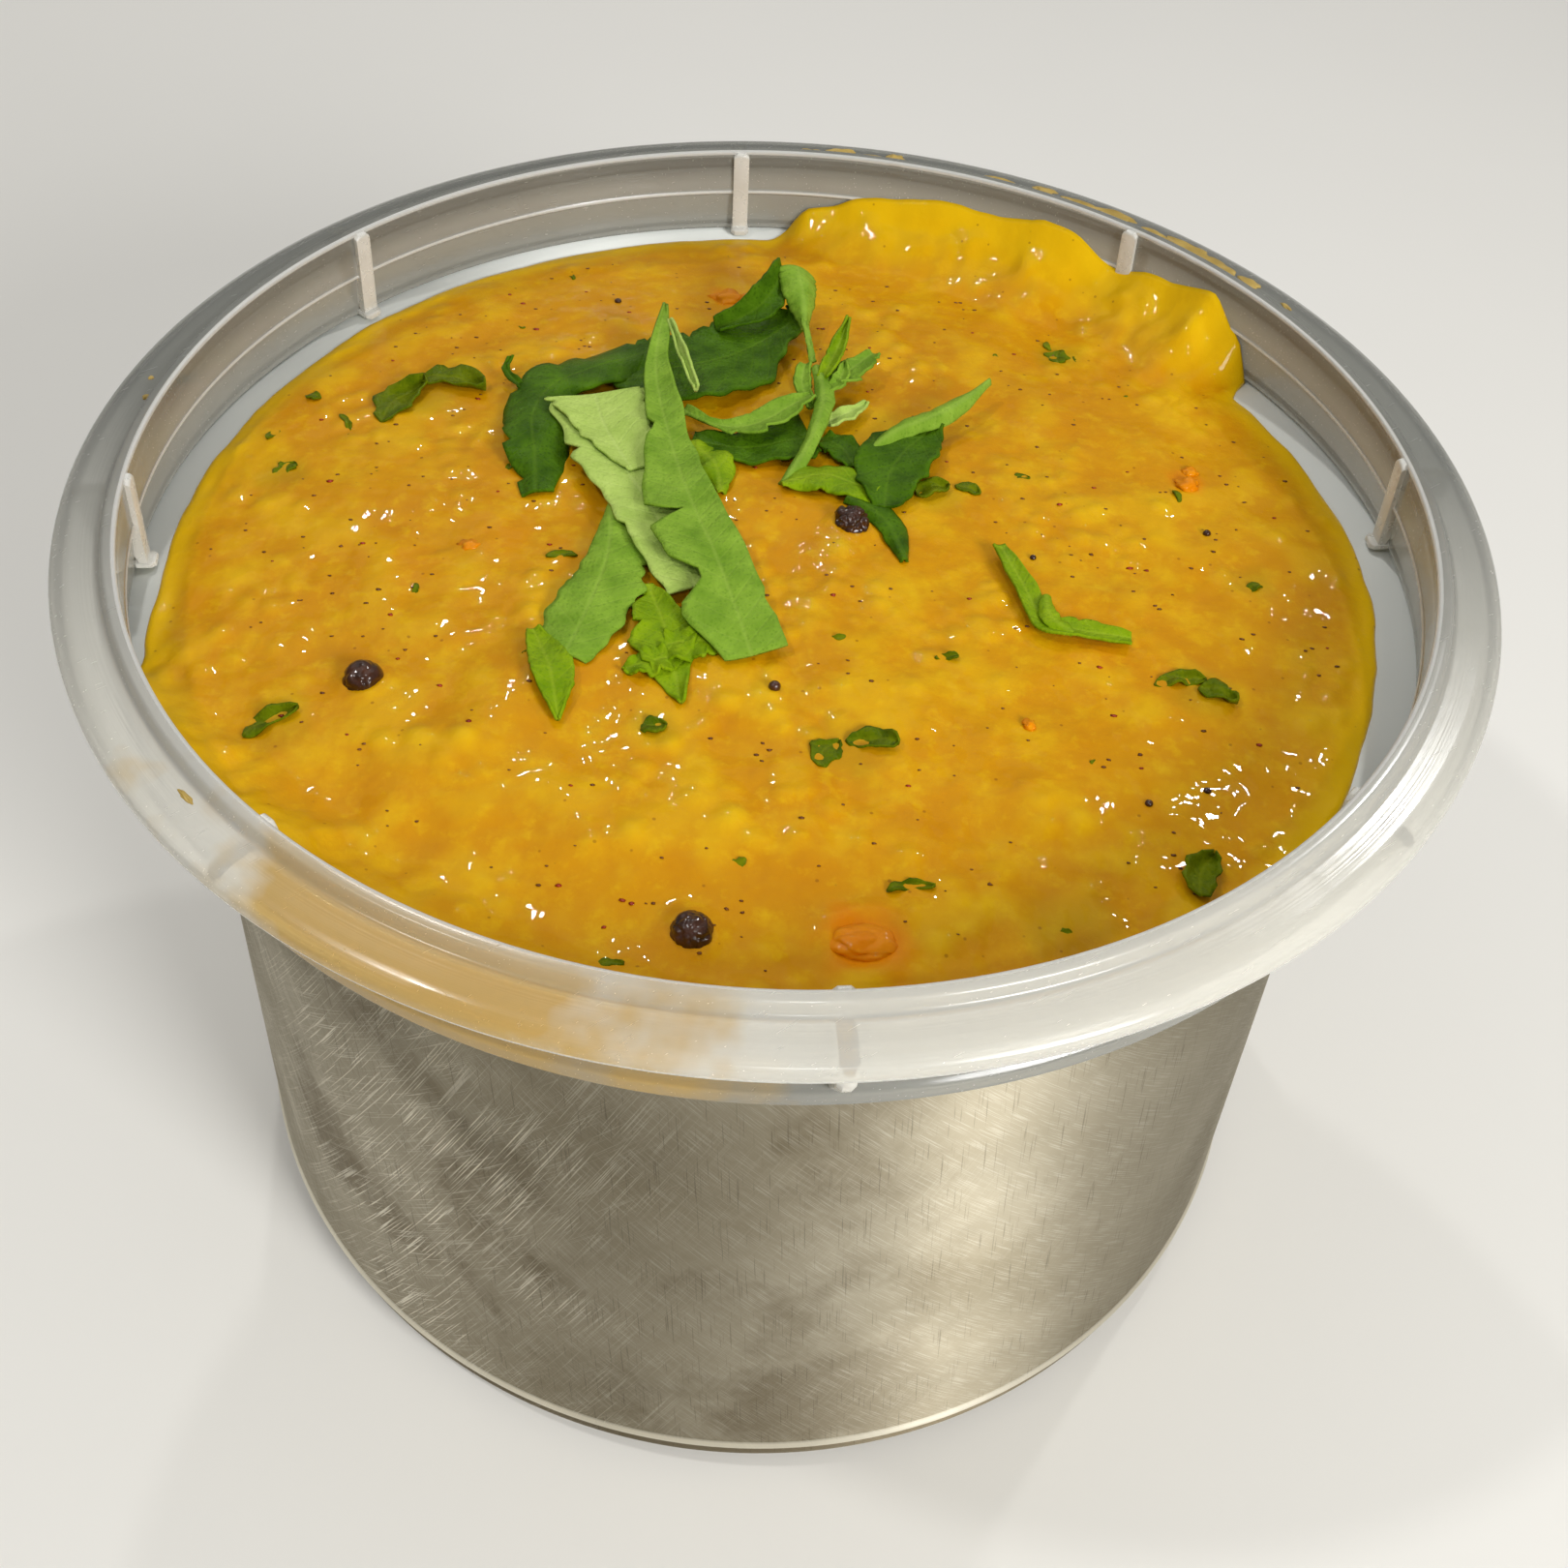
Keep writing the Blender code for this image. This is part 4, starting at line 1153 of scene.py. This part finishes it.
def makeLeaf(name, leaf):
    middle = middleOf(leaf["node"])
    points, faces, alongs, acrosses, tones = [], [], [], [], []
    colours = [leaf["colour"]] + sorted({blade["colour"] for blade in leaf["blades"] if "colour" in blade})
    for number, blade in enumerate(leaf["blades"]):
        faces += gridFaces(len(points), leafSheet["steps"], 2 * leafSheet["halfStrips"] + 1)
        added, along, across = bladePoints(blade, middle, len(name) * 1.7 + number * 2.3)
        points += added
        alongs += along
        acrosses += across
        tones += [colours.index(blade.get("colour", leaf["colour"]))] * (len(faces) - len(tones))
    piece = bladeSheet(name, points, faces, alongs, acrosses, leafSheet["thickness"])
    for colour in colours:
        piece.data.materials.append(leafMaterials[colour])
    piece.data.polygons.foreach_set("material_index", tones)
    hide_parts(leaf["node"])


leafMaterials = {name: leafMaterial(name) for name in leafColours}
for leafName, leafSpec in leaves.items():
    makeLeaf(leafName, leafSpec)
print("coriander laid on:", len(leaves), "leaves")


# Peppercorns and tomato

berries = {
    "peppercornBack": dict(node="peppercorn_back", slot="peppercorn", wrinkle=0.3, sink=0.0, plump=1.15),
    "peppercornFront": dict(node="peppercorn_front", slot="peppercorn", wrinkle=0.12, sink=0.3, plump=1.1),
    "peppercornLeft": dict(node="peppercorn_left", slot="peppercorn", wrinkle=0.12, sink=0.3, plump=1.1),
    "tomatoPiece": dict(node="tomato_piece", slot="tomato", wrinkle=0.16, sink=0.5, plump=1.0),
}
berryLook = dict(
    pepperDark=paint(14, 8, 6),
    pepperLight=paint(78, 40, 18),
    fleshDark=paint(212, 112, 2),
    fleshLight=paint(224, 146, 4),
    seed=paint(228, 168, 12),
    sheen=paint(255, 170, 30),
)


def pepperMaterial():
    material, tree, shader, place = newMaterial("wetPeppercorn")
    skin = mottled(tree, place, 1.2, 0.4, berryLook["pepperDark"], berryLook["pepperLight"])
    gloss = spread(tree, skin["Mask"], 0.0, 1.0, 0.22, 0.42)
    fill(tree, shader, {"Base Color": skin["Color"], "Roughness": gloss,
                        "Specular IOR Level": 0.2, "Coat Weight": 0.6, "Coat Roughness": 0.03,
                        "Normal": bumpOf(tree, noiseOf(tree, place, 0.6, 3.0), 0.1, 0.7)})
    return material


def tomatoMaterial():
    material, tree, shader, place = newMaterial("cookedTomato")
    flesh = mottled(tree, place, 3.0, 0.3, berryLook["fleshDark"], berryLook["fleshLight"])
    seeds = freckled(tree, place, 1.3, 0.4, 0.3)
    base = blendColour(tree, times(tree, seeds, 0.4), flesh["Color"], berryLook["seed"])
    gloss = spread(tree, flesh["Mask"], 0.0, 1.0, 0.4, 0.55)
    fill(tree, shader, {"Base Color": base, "Roughness": gloss,
                        "Specular Tint": berryLook["sheen"], "Coat Weight": 0.3, "Coat Roughness": 0.08,
                        "Normal": bumpOf(tree, noiseOf(tree, place, 0.9, 4.0), 0.15, 0.6)})
    return material


def makeBerry(name, berry, material):
    low, high = boxOf(berry["node"])
    middle = (low + high) / 2
    half = (high - low) / 2 * berry["plump"]
    bm = bmesh.new()
    bmesh.ops.create_icosphere(bm, subdivisions=5, radius=1.0)
    for vert in bm.verts:
        away = vert.co.copy()
        fold = abs(noise.noise(away * 1.3 + middle)) + 0.35 * abs(noise.noise(away * 3.1 + middle))
        swell = 1.0 - berry["wrinkle"] + berry["wrinkle"] * min(fold * 2.0, 1.0)
        vert.co = Vector([m + a * h * swell for m, a, h in zip(middle, away, half)]) * mm
        vert.co.z -= berry["sink"] * mm
    piece = showPiece(name, meshFrom(name, bm), material)
    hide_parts(berry["node"])


berryMaterials = {"peppercorn": pepperMaterial(), "tomato": tomatoMaterial()}
for berryName, berrySpec in berries.items():
    makeBerry(berryName, berrySpec, berryMaterials[berrySpec["slot"]])
print("peppercorns and tomato set in")


# Small things in the dal

# Bits of coriander in the dal: x, y, length, width, direction, curl and lift
herbs = (
    (-45, 22, 9, 4.4, 66, 2.8, 0.2), (-40, 26, 9, 3.6, -16, 2.6, 0.4),
    (42.0, -19.0, 5.5, 1.8, 10, 0.6, 0.2), (45.6, -20.6, 4.2, 2.6, -30, 1.4, 0.4),
    (10.4, -31.0, 5.2, 2.2, -8, 1.0, 0.4), (6.2, -32.4, 4.0, 2.6, 60, 0.6, 0.0),
    (-48.5, -31.5, 6.0, 2.0, 38, 1.0, 0.2), (41.5, -44.6, 5.2, 3.0, 70, 1.8, 0.8),
    (14.0, -48.2, 4.4, 1.0, 8, 0.5, 0.2), (-11.0, -30.4, 2.6, 2.0, 20, 0.5, 0.1),
    (18.0, -18.4, 2.4, 0.8, 0, 0.2, 0.2), (34.0, 39.6, 3.0, 2.4, 80, 0.6, 0.0),
    (17.2, 8.6, 4.2, 2.2, 30, 0.9, 0.5), (21.2, 9.8, 3.0, 1.4, -20, 0.6, 0.3),
    (-56.0, 8.4, 3.4, 2.0, 65, 0.5, -0.1), (-50.6, -37.8, 4.6, 0.8, 0, 0.3, 0.2),
    (-56.0, 22.8, 1.8, 1.2, 0, 0.4, 0.1), (-51.2, 17.4, 4.0, 0.7, -65, 0.2, 0.1),
    (-59.0, 15.2, 2.2, 0.9, 60, 0.3, 0.1), (-30.0, 10.0, 2.6, 0.8, 20, 0.2, 0.0),
    (-23.0, -5.4, 3.4, 0.7, 5, 0.2, 0.1), (-12.6, -58.4, 2.6, 0.9, 5, 0.3, 0.2),
    (52.0, -3.0, 2.2, 1.2, 30, 0.3, -0.1), (27.5, 13.0, 2.0, 1.0, 15, 0.3, 0.0),
)
herbSheet = dict(thickness=0.22, steps=12, halfStrips=4, leastWidth=0.08, ragged=0.7, bow=0.12, uneven=0.8,
                 sunk=0.1)
flake = dict(sides=6, leastReach=0.7, ragged=0.45, length=1.2, width=0.8, above=0.22, below=0.3, lift=0.04)
scatter = dict(seed=27, brownCount=340, chilliCount=60, herbCount=26, reach=62.0)


def flakePoints(x, y, z, size, turn, points, faces):
    # A thin closed flake with an uneven outline
    base = len(points)
    sides = flake["sides"]
    for side in range(sides):
        angle = turn + side * 2 * math.pi / sides
        ragged = flake["ragged"] * noise.noise(Vector((x * 3, y * 3, side * 1.7)))
        reach = size * (flake["leastReach"] + ragged)
        points.append((x + reach * math.cos(angle) * flake["length"],
                       y + reach * math.sin(angle) * flake["width"], z))
        after = (side + 1) % sides
        faces.append((base + side, base + after, base + sides))
        faces.append((base + after, base + side, base + sides + 1))
    points.append((x, y, z + size * flake["above"]))
    points.append((x, y, z - size * flake["below"]))


def fleckMaterial(name, dark, light):
    material, tree, shader, place = newMaterial(name)
    skin = mottled(tree, place, 2.0, 0.4, dark, light)
    gloss = spread(tree, skin["Mask"], 0.0, 1.0, 0.3, 0.5)
    fill(tree, shader, {"Base Color": skin["Color"], "Roughness": gloss,
                        "Normal": bumpOf(tree, noiseOf(tree, place, 0.3, 2.0), 0.04, 0.5)})
    return material


def scatteredPlaces(count, draw):
    # Even over the open surface
    places = []
    while len(places) < count:
        x = draw.uniform(-scatter["reach"], scatter["reach"])
        y = draw.uniform(-scatter["reach"], scatter["reach"])
        if math.hypot(x, y) < scatter["reach"]:
            places.append((x, y))
    return places


def makeFlecks(name, count, sizes, material, draw):
    points, faces = [], []
    for x, y in scatteredPlaces(count, draw):
        size = draw.uniform(*sizes)
        flakePoints(x, y, dalTop(x, y) + flake["lift"], size, draw.uniform(0, 6.28), points, faces)
    piece = showPiece(name, meshOf(name, points, faces), material)


def makeHerbBits(material, draw):
    # Small curled blades, partly under the surface
    steps = herbSheet["steps"]
    half = herbSheet["halfStrips"]
    points, faces, alongs, acrosses = [], [], [], []
    bits = list(herbs)
    for x, y in scatteredPlaces(scatter["herbCount"], draw):
        bits.append((x, y, draw.uniform(0.8, 2.0), draw.uniform(0.4, 0.9), draw.uniform(0, 360), 0.2, 0.0))
    for x, y, length, width, turn, curl, lift in bits:
        faces += gridFaces(len(points), steps, 2 * half + 1)
        direction = Vector((math.cos(math.radians(turn)), math.sin(math.radians(turn))))
        side = Vector((-direction.y, direction.x))
        for step in range(steps + 1):
            along = step / steps - 0.5
            outline = width / 2 * (1 - (2 * along) ** 2) ** 0.5 if abs(along) < 0.5 else 0.0
            ragged = herbSheet["ragged"] * noise.noise(Vector((along * 5, x, y)))
            outline = outline * (1 + ragged) + herbSheet["leastWidth"]
            bow = length * herbSheet["bow"] * (1 - 4 * along * along)
            for strip in range(-half, half + 1):
                share = strip / half
                px = x + direction.x * along * length + side.x * (share * outline + bow)
                py = y + direction.y * along * length + side.y * (share * outline + bow)
                uneven = herbSheet["uneven"] * noise.noise(Vector((px * 0.6, py * 0.6, 2.0)))
                rise = lift + curl * 0.5 * share ** 2 * (0.5 + along) + uneven - herbSheet["sunk"]
                points.append((px, py, dalTop(px, py) + rise))
                alongs.append(along * length)
                acrosses.append(share * outline)
    piece = bladeSheet("herbBits", points, faces, alongs, acrosses, herbSheet["thickness"])
    piece.data.materials.append(material)


def makeBalls(name, places, material, wrinkle):
    # Small uneven balls: x, y, three half sizes and lift
    bm = bmesh.new()
    for x, y, size, lift in places:
        made = bmesh.ops.create_icosphere(bm, subdivisions=3, radius=1.0)["verts"]
        middle = Vector((x, y, dalTop(x, y) + lift))
        for vert in made:
            swell = 1 + wrinkle * noise.noise(vert.co * 2 + middle)
            shape = Vector([part * reach * swell for part, reach in zip(vert.co, size)])
            vert.co = (middle + shape) * mm
    piece = showPiece(name, meshFrom(name, bm), material)


seedPlaces = (
    (0.6, -24.3, (0.62, 0.6, 0.6), 0.2), (48.0, 6.0, (0.45, 0.45, 0.4), 0.1),
    (37.0, -36.0, (0.4, 0.4, 0.35), 0.1), (58.0, -32.0, (0.4, 0.4, 0.35), 0.1),
    (-22.0, 47.0, (0.45, 0.4, 0.35), 0.1), (28.0, -1.0, (0.35, 0.35, 0.3), 0.1),
    (15.0, 20.5, (0.4, 0.4, 0.35), 0.1), (43.0, -33.5, (0.4, 0.35, 0.3), 0.1),
)
tomatoBitPlaces = (
    (-8.0, 48.8, (2.2, 1.5, 0.9), -0.1), (-5.4, 48.2, (1.2, 0.9, 0.7), 0.1),
    (46.8, 14.4, (1.5, 1.2, 0.7), 0.0), (47.4, 17.2, (0.9, 0.8, 0.6), 0.0),
    (-33.0, -4.0, (1.4, 1.0, 0.6), -0.3), (26.0, -27.0, (0.7, 0.7, 0.5), 0.0),
)

draw = random.Random(scatter["seed"])
brownMaterial = fleckMaterial("toastedSpice", paint(74, 34, 8), paint(132, 74, 14))
chilliMaterial = fleckMaterial("chilliFlake", paint(120, 22, 8), paint(176, 52, 10))
makeFlecks("brownSpecks", scatter["brownCount"], (0.14, 0.36), brownMaterial, draw)
makeFlecks("chilliFlecks", scatter["chilliCount"], (0.22, 0.5), chilliMaterial, draw)
makeHerbBits(leafMaterials["sunken"], draw)
makeBalls("mustardSeeds", seedPlaces, berryMaterials["peppercorn"], 0.1)
makeBalls("tomatoBits", tomatoBitPlaces, berryMaterials["tomato"], 0.6)
print("specks, seeds and bits scattered")


# Smears left on the rim

# Azimuth, radius, half length along the rim, half width and thickness
smears = (
    (38, 71.4, 1.8, 0.8, 0.2), (42, 71.0, 3.2, 1.1, 0.25), (46, 71.4, 3.6, 1.2, 0.2),
    (50, 70.9, 2.2, 1.0, 0.3), (55, 71.6, 3.0, 0.9, 0.2), (59, 71.2, 2.4, 0.9, 0.25),
    (63, 71.8, 1.6, 0.6, 0.2), (68, 71.4, 2.0, 0.5, 0.15), (79.5, 71.2, 1.3, 0.9, 0.6),
    (82, 71.0, 2.4, 0.4, 0.25), (85.4, 71.3, 1.9, 0.8, 0.5), (88.6, 71.0, 1.4, 0.5, 0.3),
    (173.7, 70.4, 0.45, 0.4, 0.3), (170.8, 71.4, 0.3, 0.3, 0.15), (33, 71.6, 0.8, 0.3, 0.2),
    (225, 71.2, 1.0, 0.3, 0.15),
)


def makeRimSmears():
    bm = bmesh.new()
    level = rimTop - rim["lipDrop"]
    for azimuth, radius, length, width, thick in smears:
        made = bmesh.ops.create_icosphere(bm, subdivisions=4, radius=1.0)["verts"]
        for vert in made:
            away = vert.co.copy()
            ragged = 1 + 0.45 * noise.noise(away * 1.6 + Vector((azimuth, 0, 0)))
            angle = math.radians(azimuth) + away.x * length * ragged / radius
            reach = radius + away.y * width * ragged
            height = level + max(away.z, -0.2) * thick * ragged
            vert.co = Vector((reach * math.cos(angle), reach * math.sin(angle), height)) * mm
    dried = fleckMaterial("driedDal", paint(150, 122, 46), paint(196, 166, 84))
    piece = showPiece("rimSmears", meshFrom("rimSmears", bm), dried)


makeRimSmears()
print("rim smeared")


# Floor, light and camera

studio = dict(
    floor=paint(238, 236, 230),
    floorDark=paint(234, 232, 226),
    floorReach=3000,
    air=paint(250, 248, 244),
    airStrength=0.27,
    # Name, place, aim, size and watts
    lamps=(
        ("overhead", (-0.22, 0.34, 1.05), (0, 0, 0.08), 1.2, 1.6),
        ("frontRight", (0.38, -0.47, 0.38), (0.01, -0.04, 0.04), 0.24, 3.5),
        ("leftGlint", (-0.14, 0.50, 0.66), (0, 0, 0.09), 0.03, 0.6),
        ("rightGlint", (0.34, 0.40, 0.62), (0, 0, 0.09), 0.03, 0.6),
        ("sideGlint", (-0.36, -0.10, 0.78), (0, 0, 0.09), 0.05, 1.0),
        ("frontGlint", (0.08, -0.52, 0.66), (0, 0, 0.09), 0.03, 0.5),
    ),
)
eye = dict(place=(0.0, -163.2, 219.9), tilt=42.28, yaw=0.60, roll=2.82, lens=44.3, shift=(0.0174, -0.0983))


def makeFloor():
    material, tree, shader, place = newMaterial("paleFloor")
    tone = mottled(tree, place, 90.0, 0.1, studio["floorDark"], studio["floor"])["Color"]
    fill(tree, shader, {"Base Color": tone, "Roughness": 0.7})
    reach = studio["floorReach"]
    corners = [(-reach, -reach, 0), (reach, -reach, 0), (reach, reach, 0), (-reach, reach, 0)]
    floor = showPiece("floor", meshOf("floor", corners, [(0, 1, 2, 3)]), material, None)


def makeLights():
    world = bpy.data.worlds.new("studioAir")
    bpy.context.scene.world = world
    world.use_nodes = True
    sky = world.node_tree.nodes["Background"]
    sky.inputs["Color"].default_value = studio["air"]
    sky.inputs["Strength"].default_value = studio["airStrength"]
    for name, place, aim, size, watts in studio["lamps"]:
        lamp = bpy.data.lights.new(name, "AREA")
        lamp.shape = "DISK"
        lamp.size = size
        lamp.energy = watts
        holder = bpy.data.objects.new(name, lamp)
        bpy.context.scene.collection.objects.link(holder)
        holder.location = place
        holder.rotation_euler = (Vector(aim) - Vector(place)).to_track_quat("-Z", "Y").to_euler()


def makeCamera():
    lens = bpy.data.cameras.new("camera")
    lens.sensor_width = 36.0
    lens.lens = eye["lens"]
    lens.shift_x, lens.shift_y = eye["shift"]
    lens.clip_start = 0.01
    camera = bpy.data.objects.new("camera", lens)
    bpy.context.scene.collection.objects.link(camera)
    yaw = Matrix.Rotation(math.radians(eye["yaw"]), 4, "Z")
    tilt = Matrix.Rotation(math.radians(90 - eye["tilt"]), 4, "X")
    roll = Matrix.Rotation(math.radians(eye["roll"]), 4, "Z")
    camera.matrix_world = Matrix.Translation(Vector(eye["place"]) * mm) @ yaw @ tilt @ roll
    bpy.context.scene.camera = camera


makeFloor()
makeLights()
makeCamera()
bpy.context.scene.view_settings.view_transform = "Standard"
print("floor, light and camera set")
